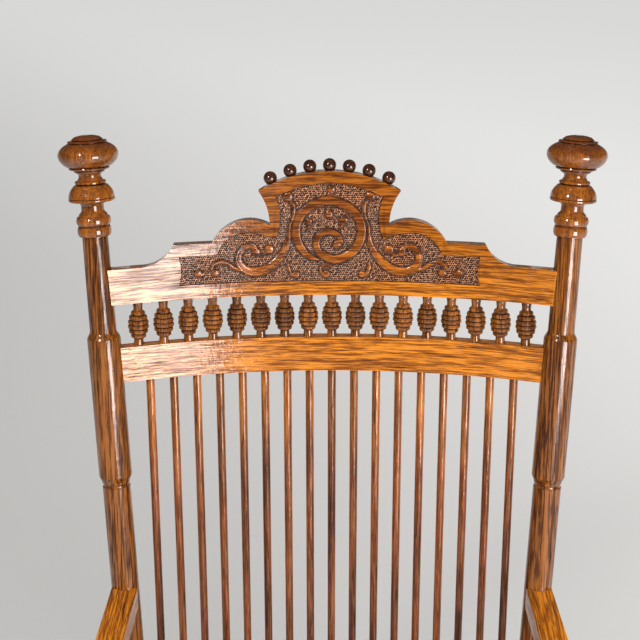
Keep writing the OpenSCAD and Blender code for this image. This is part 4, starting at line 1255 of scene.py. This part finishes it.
    def blurred(self, values: np.ndarray) -> np.ndarray:
        """Spreads a field over its neighbours.

        Args:
            values: The field, one row for each v.

        Returns:
            The blurred field.
        """
        out = values
        for _ in range(self.blur):
            out = (np.roll(out, 1, 0) + np.roll(out, -1, 0) + np.roll(out, 1, 1) + np.roll(out, -1, 1)
                   + out) / 5
        return out

    def outline(self) -> np.ndarray:
        """Draws the outline of the sunk field, a little outside its wall.

        Returns:
            Points of x and v in metres.
        """
        right = [(171.4, 14.6), (171.4, 51.2), (129.6, 51.2)]
        # Middle, radius, first and last angle in degrees, and number of points of each arc
        for cx, cy, r, start, end, count in ((95, 40.3, 35.2, 20, 88, 14), (95, 6, 69.5, 90, 116.5, 10),
                                             (116.3, 90, 58.6, 203, 157, 14), (0, -2.4, 133, 62.6, 90, 16)):
            right += [(cx + r * math.cos(math.radians(a)), cy + r * math.sin(math.radians(a)))
                      for a in np.linspace(start, end, count)]
        left = [(-x, y) for x, y in reversed(right[:-1])]
        return np.array([(x + self.field_shift, y) for x, y in right + left]) * MM

    def prism(self) -> Piece:
        """Makes the outline a closed prism through the rail.

        Returns:
            The prism.
        """
        plan = self.outline()
        count = len(plan)
        near, far = (BACK.points(plan[:, 0], np.full(count, b), plan[:, 1]) for b in self.prism_ends)
        faces = [[i, (i + 1) % count, count + (i + 1) % count, count + i] for i in range(count)]
        faces += [list(range(count)), [count + i for i in range(count - 1, -1, -1)]]
        made = new_object("field_prism", np.vstack([near, far]), faces, sharp=None)
        outwards(made)
        return made

    def build(self, finish: Material) -> None:
        """Joins the carving to the rail.

        Args:
            finish: The rail's material.
        """
        rail = merged_copy("crest_rail", "carved_crest_rail")
        block = self.block()
        joined_boolean(block, self.prism(), "INTERSECT")
        joined_boolean(rail, block, "UNION")
        wear_only(rail, finish)
        shade(rail, 38)
        self.mark(rail)
        self.true_normals(rail)
        settle(rail, Body.CHAIR, "oak_rails", "crest_rail")

    def true_normals(self, rail: Piece) -> None:
        """Gives the bent front and back faces of the rail the normals of their true curve.

        Args:
            rail: The carved rail.
        """
        co = places_of(rail)
        b = BACK.inside(co)[0]
        depth = BACK.depth(co[:, 0], b) / MM
        c, s = BACK.turn
        far = b + BACK.chord
        out = np.stack([co[:, 0], far * c, -far * s], 1)
        out /= np.linalg.norm(out, axis=1, keepdims=True)
        kept = np.array([n.vector for n in rail.data.corner_normals])
        for face in rail.data.polygons:
            corners = list(face.vertices)
            for place, way in ((0.0, -1.0), (BACK.board / MM, 1.0)):
                if np.all(np.abs(depth[corners] - place) < self.face_reach):
                    kept[list(face.loop_indices)] = out[corners] * way
        rail.data.normals_split_custom_set(kept.tolist())

    def mark(self, rail: Piece) -> None:
        """Stores on each vertex whether it is carved, how high it stands, whether it was sawn, and its painted
        shade in crevices and along the field's wall.

        Args:
            rail: The carved rail.
        """
        co = places_of(rail)
        x = co[:, 0]
        b, v = BACK.inside(co)
        depth = BACK.depth(x, b) / MM
        plan = self.outline()
        inside = np.zeros(len(co), bool)
        nearest = np.full(len(co), 1.0)
        for p, q in zip(plan, np.roll(plan, -1, 0)):
            with np.errstate(divide="ignore", invalid="ignore"):
                crossing = p[0] + (v - p[1]) / (q[1] - p[1]) * (q[0] - p[0])
            inside ^= ((p[1] > v) != (q[1] > v)) & (x < crossing)
            way = q - p
            t = np.clip(((x - p[0]) * way[0] + (v - p[1]) * way[1]) / (way @ way), 0, 1)
            nearest = np.minimum(nearest, np.hypot(x - p[0] - t * way[0], v - p[1] - t * way[1]))
        shallow = depth < self.cut
        carved = inside & (nearest > self.inner_edge) & shallow
        i = np.clip(np.searchsorted(self.x, x / MM), 0, len(self.x) - 1)
        j = np.clip(np.searchsorted(self.v, v / MM + self.lift), 0, len(self.v) - 1)
        # Painted shade along the wall of the sunk field
        wall = np.clip(1 - (nearest - self.wall_from) / self.wall_fade, 0, 1) * (depth > self.wall_depth)
        wall = wall * (inside | (nearest < self.inner_edge)) * shallow
        marks = {"carved": carved,
                 "crevice_shade": np.maximum(self.crevice_shade[j, i] * carved, wall),
                 "raised": np.clip(1 - depth / self.ground, 0, 1) * carved,
                 "sawn": np.clip((depth - self.sawn_from) / self.sawn_fade, 0, 1) * ~(inside & shallow)}
        for name, values in marks.items():
            layer = rail.data.attributes.new(name, "FLOAT", "POINT")
            layer.data.foreach_set("value", values.astype(np.float32))


# The seat


@dataclass
class StuffedSeat:
    """The stuffed seat with its velvet cover, gimp and brass nails.

    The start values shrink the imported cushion, and pressure then swells its cover, by swell at the most and
    not below tacked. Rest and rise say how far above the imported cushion's floor and top the pad may lie. The
    lengths whose names end in out say how far the trim stands off the cover.
    """

    start_width: float = 0.985
    start_taper: float = 0.006
    start_height: float = 0.88
    voxel: float = 0.0055
    frames: int = 20
    pressure: float = 4.0
    tension: float = 12.0
    bending: float = 1.2
    swell: float = 0.009
    tacked: float = 0.009
    rest: float = 0.0002
    rise: float = 0.004
    side_from: float = 0.15
    side_fade: float = 0.05
    trim_up: float = 0.0065
    trim_step: float = 0.0014
    rays: int = 1440
    ray_reach: float = 0.6
    evened: int = 6
    nail_pitch: float = 0.0145
    nail_radius: float = 0.0046
    nail_out: float = 0.0012
    nails_round: int = 76
    pull: float = 0.0012
    pull_level: float = 0.24
    pull_spread: float = 0.13
    cord: float = 0.00095
    cord_up: float = 0.0046
    cord_out: float = 0.0006
    wave_up: float = 0.0034
    wave_out: float = 0.0007
    wave_over: float = 0.0004
    wave_points: float = 4.6
    low: Vector = field(init=False)
    high: Vector = field(init=False)

    def __post_init__(self) -> None:
        """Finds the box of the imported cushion."""
        self.low, self.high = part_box("seat_cushion")

    def pad(self, finish: Material) -> Piece:
        """Makes the stuffed pad, whose cover a cloth simulation swells.

        Args:
            finish: The velvet.

        Returns:
            The pad.
        """
        low, high = self.low, self.high
        pad = merged_copy("seat_cushion", "seat_pad")
        middle = np.array((low + high) / 2)[:2]
        co = places_of(pad)
        share = (co[:, 2] - low.z) / (high.z - low.z)
        co[:, :2] = middle + (co[:, :2] - middle) * (self.start_width - self.start_taper * share[:, None])
        co[:, 2] = low.z + (co[:, 2] - low.z) * self.start_height
        move_to(pad, co)
        grid = pad.modifiers.new("grid", "REMESH")
        grid.mode = "VOXEL"
        grid.voxel_size = self.voxel
        apply_modifiers(pad)
        self.swell_cloth(pad)
        self.keep_in_box(pad)
        smooth = pad.modifiers.new("smooth", "SUBSURF")
        smooth.levels = smooth.render_levels = 1
        apply_modifiers(pad)
        wear_only(pad, finish)
        pad.data.shade_smooth()
        settle(pad, Body.CHAIR, "upholstery", "seat_cushion")
        return pad

    def swell_cloth(self, pad: Piece) -> None:
        """Runs the cloth and keeps each point within a cap.

        Args:
            pad: The remeshed pad.
        """
        before = places_of(pad)
        group = pad.vertex_groups.new(name="tacked")
        group.add([k for k, co in enumerate(before) if co[2] < self.low.z + self.tacked], 1.0, "REPLACE")
        cloth = pad.modifiers.new("cloth", "CLOTH").settings
        cloth.use_pressure = True
        cloth.uniform_pressure_force = self.pressure
        cloth.effector_weights.gravity = 0
        cloth.tension_stiffness = self.tension
        cloth.bending_stiffness = self.bending
        cloth.vertex_group_mass = "tacked"
        scene = bpy.context.scene
        for number in range(1, self.frames + 1):
            scene.frame_set(number)
        shift = places_of(pad.evaluated_get(bpy.context.evaluated_depsgraph_get())) - before
        pad.modifiers.clear()
        scene.frame_set(1)
        length = np.linalg.norm(shift, axis=1, keepdims=True)
        move_to(pad, before + shift * np.minimum(1.0, self.swell / np.maximum(length, 1e-9)))

    def keep_in_box(self, pad: Piece) -> None:
        """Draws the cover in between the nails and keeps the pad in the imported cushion's place.

        Args:
            pad: The pad.
        """
        low, high = self.low, self.high
        co = places_of(pad)
        share = np.clip((co[:, 2] - low.z) / (high.z - low.z), 0, 1)
        back = co[:, 1] - (low.y + high.y) / 2
        angle = np.arctan2(back, co[:, 0])
        pull = self.pull * np.exp(-((share - self.pull_level) / self.pull_spread) ** 2)
        pull *= 1 + np.cos(angle * self.nails_round)
        side = np.clip((np.hypot(co[:, 0], back) - self.side_from) / self.side_fade, 0, 1)
        co[:, 0] -= np.cos(angle) * pull * side
        co[:, 1] -= np.sin(angle) * pull * side
        co[:, 2] = np.clip(co[:, 2], low.z + self.rest, high.z + self.rise)
        move_to(pad, co)

    def edge_line(self, pad: Piece) -> tuple[np.ndarray, np.ndarray]:
        """Finds the cover's outline at the height of the trim.

        Args:
            pad: The pad.

        Returns:
            Evenly spaced points round the pad, and their outward directions.
        """
        tree = BVHTree.FromObject(pad, bpy.context.evaluated_depsgraph_get())
        middle = Vector((0, (self.low.y + self.high.y) / 2, self.low.z + self.trim_up))
        found = []
        for k in range(self.rays):
            angle = math.tau * k / self.rays
            way = Vector((math.cos(angle), math.sin(angle), 0))
            hit = tree.ray_cast(middle + way * self.ray_reach, -way, self.ray_reach)[0]
            if hit is not None:
                found.append(hit)
        ring = np.array(found)
        for _ in range(self.evened):
            ring = (np.roll(ring, 1, 0) + ring * 2 + np.roll(ring, -1, 0)) / 4
        closed = np.vstack([ring, ring[:1]])
        run = np.concatenate([[0], np.cumsum(np.linalg.norm(np.diff(closed, axis=0), axis=1))])
        count = int(run[-1] / self.trim_step)
        want = np.linspace(0, run[-1], count, endpoint=False)
        line = np.stack([np.interp(want, run, closed[:, k]) for k in range(3)], 1)
        along = np.roll(line, -3, 0) - np.roll(line, 3, 0)
        out = np.stack([along[:, 1], -along[:, 0], np.zeros(count)], 1)
        return line, out / np.linalg.norm(out, axis=1, keepdims=True)

    def build(self, finishes: dict[str, Material], trees: Trees) -> None:
        """Builds the pad, and on it the gimp, of two edge cords and two that cross, and the nails.

        Args:
            finishes: The materials by name.
            trees: The geometry groups.
        """
        line, out = self.edge_line(self.pad(finishes["velvet"]))
        count = len(line)
        phase = np.arange(count) / count * round(count / self.wave_points) * math.tau
        up = np.zeros((count, 3))
        up[:, 2] = 1.0
        cords = [line + up * high + out * self.cord_out for high in (-self.cord_up, self.cord_up)]
        for turn in (0.0, math.pi):
            wave = np.sin(phase + turn)[:, None]
            over = np.cos(phase * 2 + turn)[:, None]
            cords.append(line + up * wave * self.wave_up + out * (self.wave_out + self.wave_over * over))
        braid = trees.tubes("seat_gimp", cords, True, self.cord, 6, finishes["gimp"])
        settle(braid, Body.CHAIR, "upholstery")
        nails = int((count - 1) * self.trim_step / self.nail_pitch)
        picks = (np.arange(nails) * count / nails).astype(int)
        places = line[picks] + out[picks] * self.nail_out
        spots = trees.heads("seat_nails", nail_head(), places, out[picks], {
            "Size": self.nail_radius, "Unevenness": 0.05, "Seed": 11, "Finish": finishes["brass"]})
        settle(spots, Body.CHAIR, "brass")


@dataclass
class Webbing:
    """Jute straps, woven over and under, tacked to the seat rails.

    The straps reach half_back to each side at the back of the seat and half_front at its front, less a
    short end; those that run backwards lie within half_x, and those across within clear of the ends.
    """

    width: float = 0.050
    thickness: float = 0.0013
    count: int = 4
    level: float = 0.385
    inset: float = 0.001
    clear: float = 0.0455
    half_x: float = 0.2006
    half_back: float = 0.2279
    half_front: float = 0.2358
    short: float = 0.005
    over: float = 0.0016
    wave: float = 0.00075
    wave_reach: float = 0.026
    thin_edge: float = 0.35
    tack_in: float = 0.004
    tack_pitch: float = 0.009
    tack_radius: float = 0.0021
    steps: int = 90
    sides: int = 7

    def strap(self, start: Vector, end: Vector, flip: int,
              crossings: Sequence[float]) -> tuple[np.ndarray, list[list[int]]]:
        """One strap that passes over and under the others.

        Args:
            start: Middle of its first end.
            end: Middle of its last end.
            flip: 1 if it goes over the first crossing, or -1.
            crossings: Distances of the crossings from its start.

        Returns:
            Points and faces.
        """
        steps, last = self.steps, self.sides - 1
        across = Vector((0, 1, 0)) if start.x != end.x else Vector((1, 0, 0))
        along = np.linspace(0, 1, steps)
        weave = np.zeros(steps)
        for k, place in enumerate(crossings):
            away = (along * (end - start).length - place) / self.wave_reach
            weave += flip * (-1) ** k * np.exp(-away ** 2)
        middle = self.level + self.over + self.wave * weave
        rows = []
        for side in np.linspace(-1, 1, self.sides):
            for face in (1, -1):
                base = np.outer(1 - along, start) + np.outer(along, end) + np.outer(
                    np.full(steps, side * self.width / 2), across)
                base[:, 2] = middle + face * self.thickness / 2 * (1 - self.thin_edge * abs(side) ** 6)
                rows.append(base)

        def at(s: int, under: int, k: int) -> int:
            """Number of a point in row s, on the upper or under side, at step k."""
            return (s * 2 + under) * steps + k

        faces = []
        for k in range(steps - 1):
            for s in range(last):
                faces.append([at(s, 0, k), at(s + 1, 0, k), at(s + 1, 0, k + 1), at(s, 0, k + 1)])
                faces.append([at(s, 1, k), at(s, 1, k + 1), at(s + 1, 1, k + 1), at(s + 1, 1, k)])
            faces.append([at(0, 0, k), at(0, 0, k + 1), at(0, 1, k + 1), at(0, 1, k)])
            faces.append([at(last, 0, k), at(last, 1, k), at(last, 1, k + 1), at(last, 0, k + 1)])
        for k in (0, steps - 1):
            faces.append([at(s, 0, k) for s in range(last + 1)] + [at(s, 1, k) for s in range(last, -1, -1)])
        return np.vstack(rows), faces

    def build(self, finishes: dict[str, Material], trees: Trees) -> None:
        """Builds the straps and their tacks.

        Args:
            finishes: The materials by name.
            trees: The geometry groups.
        """
        low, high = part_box("seat_webbing")
        y_from, y_to = low.y + self.inset, high.y - self.inset
        step_y = (y_to - y_from - 2 * self.clear) / self.count
        step_x = 2 * self.half_x / self.count
        ys = [y_from + self.clear + (i + 0.5) * step_y for i in range(self.count)]
        xs = [-self.half_x + (i + 0.5) * step_x for i in range(self.count)]
        lines, tacks = [], []
        spread = [k * self.tack_pitch for k in (-2, -1, 0, 1, 2)]
        for i, y in enumerate(ys):
            wider = (self.half_front - self.half_back) * (high.y - y) / (high.y - low.y)
            half = self.half_back + wider - self.short
            lines.append((Vector((-half, y, 0)), Vector((half, y, 0)), 1 if i % 2 else -1,
                          [x + half for x in xs]))
            tacks += [(s * (half - self.tack_in), y + k) for s in (-1, 1) for k in spread]
        for i, x in enumerate(xs):
            lines.append((Vector((x, y_from, 0)), Vector((x, y_to, 0)), -1 if i % 2 else 1,
                          [y - y_from for y in ys]))
            tacks += [(x + k, y) for y in (y_from + self.tack_in, y_to - self.tack_in) for k in spread]
        points, faces, start = [], [], 0
        for line in lines:
            made, sides = self.strap(*line)
            points.append(made)
            faces += [[start + q for q in f] for f in sides]
            start += len(made)
        webbing = new_object("jute_webbing", np.vstack(points), faces, finishes["jute"], 50)
        outwards(webbing)
        shade(webbing, 50)
        settle(webbing, Body.CHAIR, "webbing", "seat_webbing")
        places = np.array([(x, y, self.level + self.tack_radius) for x, y in tacks])
        spots = trees.heads("webbing_tacks", nail_head(), places, np.tile((0.0, 0.0, 1.0), (len(tacks), 1)), {
            "Size": self.tack_radius, "Unevenness": 0.08, "Seed": 5, "Finish": finishes["screw"]})
        settle(spots, Body.CHAIR, "screws")


# Irons


@dataclass
class SpringIrons:
    """Coil springs between the brackets, and the screws that hold the brackets, as packed.

    A spring stands at spring_x to each side, and a gap in front of or behind rock_y. Low is the height of its
    lower end, free its length at rest and coil the radius of the wire's middle.
    """

    rock_y: float = -77.0494 * MM
    spring_x: float = 181.448 * MM
    gap: float = 32 * MM
    low: float = 118.3 * MM
    free: float = 74 * MM
    coil: float = 12 * MM
    wire: float = 4 * MM
    turns: int = 7
    turn_steps: int = 32
    bend: float = 3.2 * MM
    bend_steps: tuple[float, ...] = (0, 20, 40, 60, 75)
    screw_pitch: float = 42 * MM
    screw_radius: float = 4.4 * MM
    screw_rise: float = 2.6 * MM
    plate: float = 4.05 * MM
    runner_in: float = 207.448 * MM
    platform_in: float = 199.448 * MM
    upper_z: float = 209.1 * MM
    lower_z: float = 101.5 * MM

    def wire_line(self, side: float, way: float) -> np.ndarray:
        """Bends one spring's wire.

        Args:
            side: -1 for the left side, or 1.
            way: -1 for the front, or 1.

        Returns:
            Points from the lower bracket to the upper one.
        """
        rise = self.free - 2 * self.wire - 2 * self.bend
        ends = [(self.coil, -self.bend, 0.0), (self.coil, -self.bend, self.wire / 2)]
        for angle in self.bend_steps:
            a = math.radians(angle)
            ends.append((self.coil, self.bend * (1 - math.cos(a)) - self.bend,
                         self.wire + self.bend * math.sin(a)))
        line = list(ends)
        for k in range(self.turns * self.turn_steps + 1):
            t = k / self.turn_steps
            line.append((self.coil * math.cos(math.tau * t), self.coil * math.sin(math.tau * t),
                         self.wire + self.bend + rise * t / self.turns))
        line += [(x, -y, self.free - z) for x, y, z in reversed(ends)]
        points = np.array(line)
        if side < 0:
            points[:, 0] *= -1
        return points + np.array([side * self.spring_x, self.rock_y + way * self.gap, self.low])

    def build(self, finishes: dict[str, Material], trees: Trees) -> None:
        """Builds the four springs, which stand between the two bodies, and the heads of the screws.

        Args:
            finishes: The materials by name.
            trees: The geometry groups.
        """
        for side, hand in ((-1, "left"), (1, "right")):
            for way, end in ((-1, "front"), (1, "rear")):
                name = f"spring_{hand}_{end}"
                wire = trees.tubes("coil_" + name, [self.wire_line(side, way)], False, self.wire / 2, 12,
                                   finishes["spring"])
                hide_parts(name)
                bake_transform(wire)
                log.info("%s: %d faces", wire.name, len(wire.data.polygons))
        for name, body, face, z in (("upper", Body.CHAIR, self.runner_in, self.upper_z),
                                    ("lower", Body.PLATFORM, self.platform_in, self.lower_z)):
            places = [(s * (face - self.plate), self.rock_y + k * self.screw_pitch, z)
                      for s in (-1, 1) for k in (-1, 0, 1)]
            facing = [(-s, 0.0, 0.0) for s in (-1, 1) for _ in range(3)]
            head = screw_head(self.screw_radius, self.screw_rise)
            spots = trees.heads(f"iron_screws_{name}", head, np.array(places), np.array(facing), {
                "Size": 1.0, "Unevenness": 0.0, "Seed": 3, "Finish": finishes["screw"]}, 30)
            settle(spots, body, "screws", f"bracket_screws_{name}")


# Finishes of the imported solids

GOLD: Colour = (0.80, 0.262, 0.012)
RED: Colour = (0.14, 0.029, 0.003)
FINISHES: dict[str, Finish] = {
    "rail": OakFinish("oak_bent_rail", Grain.ACROSS, GOLD, RED, 1.0, bent_half=0.25),
    "low_rail": OakFinish("oak_low_rail", Grain.ACROSS, GOLD, RED, 1.5, bent_half=0.2252),
    # The crest rail gets painted shade on its upper part, from shaded
    "crest": OakFinish("oak_carved_crest", Grain.ACROSS, (0.77, 0.248, 0.012), (0.11, 0.023, 0.003), 2.0,
                       bent_half=0.25, carved=True, shaded=(0.975, 1.055, (1, 1, 1), (0.62, 0.56, 0.6))),
    "post": OakFinish("oak_turned_post", Grain.LEANING, (0.36, 0.112, 0.010), (0.045, 0.011, 0.003), 3.0,
                      fineness=0.8, ripple=0.3),
    "knob": OakFinish("oak_finial", Grain.LEANING, (0.35, 0.104, 0.008), (0.155, 0.041, 0.005), 4.0,
                      gloss=0.06, ripple=0.1, varnish=1.0, patches=0.25,
                      shaded=(1.148, 1.160, (1, 1, 1), (0.55, 0.47, 0.6))),
    "ball": OakFinish("oak_crest_balls", Grain.UPRIGHT, (0.075, 0.020, 0.005), (0.022, 0.006, 0.002), 5.0,
                      gloss=0.04, ripple=0.05, varnish=1.0),
    "beehive": OakFinish("oak_beehives", Grain.LEANING, (0.38, 0.118, 0.012), (0.07, 0.018, 0.004), 6.0,
                         patches=0.3, gloss=0.08, ripple=0.1, varnish=0.9),
    # The sticks get painted shade low down and painted light high up, from shaded
    "stick": OakFinish("oak_sticks", Grain.LEANING, (0.50, 0.150, 0.016), (0.15, 0.038, 0.007), 7.0,
                       patches=0.5, shaded=(0.74, 0.86, (0.62, 0.52, 0.6), (1.2, 1.2, 1.0))),
    "arm": OakFinish("oak_arm", Grain.FORWARDS, GOLD, RED, 8.0),
    "upright": OakFinish("oak_upright", Grain.UPRIGHT, (0.42, 0.135, 0.014), (0.10, 0.024, 0.005), 9.0),
    "baluster": OakFinish("oak_balusters", Grain.UPRIGHT, (0.30, 0.088, 0.010), (0.10, 0.024, 0.005), 10.0,
                          patches=0.3),
    "side": OakFinish("oak_side_rail", Grain.FORWARDS, GOLD, RED, 11.0, coat=0.9),
    "cross": OakFinish("oak_cross_rail", Grain.ACROSS, GOLD, RED, 12.0, coat=0.9),
    "base": OakFinish("oak_platform", Grain.FORWARDS, (0.52, 0.155, 0.012), (0.20, 0.048, 0.006), 13.0,
                      coat=0.85, gloss=0.16),
    "velvet": VelvetFinish("velvet", (0.20, 0.016, 0.020), (0.30, 0.045, 0.040), (0.12, 0.009, 0.012)),
    "gimp": ThreadFinish("gimp_thread", (0.42, 0.26, 0.10), (0.14, 0.07, 0.025), 0.0016),
    "jute": ThreadFinish("jute", (0.44, 0.31, 0.17), (0.17, 0.11, 0.055), 0.0026),
    "iron": MetalFinish("japanned_iron", (0.022, 0.021, 0.020), (0.060, 0.030, 0.016),
                        (0.030, 0.024, 0.018), 0.35, 0.42, 0.55),
    "spring": MetalFinish("spring_steel", (0.19, 0.19, 0.195), (0.10, 0.065, 0.042), (0.03, 0.025, 0.02),
                          1.0, 0.36, 0.6),
    "screw": MetalFinish("blued_screws", (0.14, 0.14, 0.15), (0.09, 0.06, 0.04), (0.02, 0.018, 0.016),
                         1.0, 0.32, 0.5),
    "brass": MetalFinish("old_brass", (0.55, 0.36, 0.12), (0.28, 0.16, 0.055), (0.07, 0.04, 0.018),
                         1.0, 0.26, 0.55)}
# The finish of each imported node, by the start of its name; the first that fits counts
WORN_BY = {
    "back_post": "post", "finial": "knob", "crest_rail": "crest", "crest_balls": "ball", "beehive": "beehive",
    "middle_back": "rail", "lower_back": "low_rail", "back_spindles": "stick", "arm_screws": "brass",
    "arm_spindles": "baluster", "arm_": "arm", "front_post": "upright", "seat_rail_front": "cross",
    "seat_rail_back": "cross", "seat_rail": "side", "corner": "side", "seat_webbing": "jute",
    "seat_cushion": "velvet", "front_stretcher": "cross", "rear_stretcher": "cross",
    "side_stretcher": "side", "runner_tie": "cross", "runner": "side", "bracket_screws": "screw",
    "upper_bracket": "iron", "lower_bracket": "iron", "spring": "spring", "platform_rail": "base",
    "platform_cross": "cross", "foot": "upright"}


def dressed() -> dict[str, Material]:
    """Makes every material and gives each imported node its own.

    Returns:
        The materials by name.
    """
    groups = Groups()
    made = {name: finish.make(groups) for name, finish in FINISHES.items()}
    for name, node in frame["nodes"].items():
        finish = made[next(worn for start, worn in WORN_BY.items() if name.startswith(start))]
        if node.data.materials:
            node.material_slots[0].material = finish
        else:
            node.data.materials.append(finish)
        log.info("%s: %s", name, finish.name)
    return made


# The studio


@dataclass
class Studio:
    """Floor, soft lamps and the camera that took the view.

    Focal is in points of a picture that is frame_px wide. Tilt and pan turn the camera from facing the back
    squarely.
    """

    focal: float = 1460.0
    frame_px: float = 640.0
    place: tuple[float, float, float] = (-5.2 * MM, -1211.3 * MM, 1636.1 * MM)
    tilt: float = math.radians(13.4)
    pan: float = math.radians(-0.3)
    floor_half: float = 14.0
    floor_z: float = -0.0004
    floor_colour: Colour = (0.60, 0.596, 0.585)
    sky: float = 0.25
    mirrored_sky: float = 0.05

    def camera(self) -> None:
        """Sets the camera at the photograph's place and angle."""
        data = bpy.data.cameras.new("camera")
        data.sensor_width = 36.0
        data.lens = self.focal / self.frame_px * data.sensor_width
        made = add_object("camera", data)
        ca, sa = math.cos(self.tilt), math.sin(self.tilt)
        cb, sb = math.cos(self.pan), math.sin(self.pan)
        rows = [(cb, 0.0, sb), (sa * sb, ca, -sa * cb), (-ca * sb, sa, ca * cb)]
        c, s = BACK.turn
        axes = [Vector((u, v * s - n * c, v * c + n * s)) for u, v, n in rows]
        made.matrix_world = Matrix.Translation(self.place) @ Matrix(axes).transposed().to_4x4()
        bpy.context.scene.camera = made

    def lamp(self, name: str, place: Sequence[float], aim: Sequence[float], size: Plan, power: float,
             mirrored: bool = True) -> None:
        """Adds one soft rectangular lamp.

        Args:
            name: The lamp's name.
            place: Its middle.
            aim: The point that it faces.
            size: Its width and height.
            power: Its power in watts.
            mirrored: Whether glossy surfaces show it.
        """
        data = bpy.data.lights.new(name, "AREA")
        data.shape = "RECTANGLE"
        data.size, data.size_y = size
        data.energy = power
        data.color = (1.0, 0.985, 0.97)
        made = add_object(name, data)
        made.location = place
        made.rotation_euler = (Vector(aim) - Vector(place)).to_track_quat("-Z", "Y").to_euler()
        made.visible_glossy = mirrored

    def floor(self) -> None:
        """Lays the plain floor, which glows a little where the camera and mirrors see it, more far off and to
        the right: painted light.
        """
        graph = Surface("studio_floor")
        tone = graph.vary(graph.noise(graph.place, 0.5, 2, 0.4), 0.94, 1.06)
        reach = graph.node("ShaderNodeVectorMath", {0: graph.place}, operation="LENGTH").outputs["Value"]
        far = graph.step(graph.add(reach, graph.split(graph.place)[0]), 0.4, 4.6)
        rays = graph.node("ShaderNodeLightPath").outputs
        seen = graph.add(graph.add(rays["Is Camera Ray"], rays["Is Glossy Ray"]),
                         rays["Is Transmission Ray"], True)
        finish = graph.done({
            "Base Color": graph.tint(self.floor_colour, tone), "Roughness": 0.9, "Specular IOR Level": 0.1,
            "Emission Color": (1.0, 1.0, 0.985, 1.0),
            "Emission Strength": graph.mul(seen, graph.vary(far, 0.10, 0.50))})
        half = self.floor_half
        corners = [(x * half, y * half, self.floor_z) for x, y in ((-1, -1), (1, -1), (1, 1), (-1, 1))]
        new_object("studio_floor", corners, [[0, 1, 2, 3]], finish, None)

    def world(self) -> None:
        """Sets an even light from all round, which a gloss hardly shows."""
        made = bpy.data.worlds.new("studio")
        made.use_nodes = True
        bpy.context.scene.world = made
        graph = Graph(made.node_tree)
        glossy = graph.node("ShaderNodeLightPath").outputs["Is Glossy Ray"]
        graph.feed(made.node_tree.nodes["Background"], {
            0: (1.0, 0.995, 0.985, 1.0), 1: graph.vary(glossy, self.sky, self.mirrored_sky)})

    def build(self) -> None:
        """Builds the studio."""
        self.floor()
        self.world()
        self.lamp("window_right", (1.2, -1.75, 1.12), (-0.15, 0.25, 0.95), (0.95, 1.15), 41)
        self.lamp("window_left", (-1.2, -1.35, 2.55), (0, 0.25, 0.95), (0.32, 0.52), 26)
        self.lamp("ceiling", (0.3, -1.3, 3.1), (0, 0.15, 0.8), (1.6, 1.6), 42, False)
        self.lamp("ceiling_back", (0.3, 2.2, 3.2), (0, 1.8, 0), (3.0, 2.0), 20, False)
        self.camera()


def main() -> None:
    """Builds the dressing in order."""
    logging.basicConfig(level=logging.INFO, format="%(name)s: %(message)s")
    bpy.context.scene.view_settings.view_transform = "Standard"
    finishes = dressed()
    trees = Trees()
    CrestCarving().build(finishes["crest"])
    StuffedSeat().build(finishes, trees)
    Webbing().build(finishes, trees)
    SpringIrons().build(finishes, trees)
    Studio().build()


for old in list(bpy.data.objects):
    bpy.data.objects.remove(old)
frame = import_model()

if __name__ == "__main__":
    main()
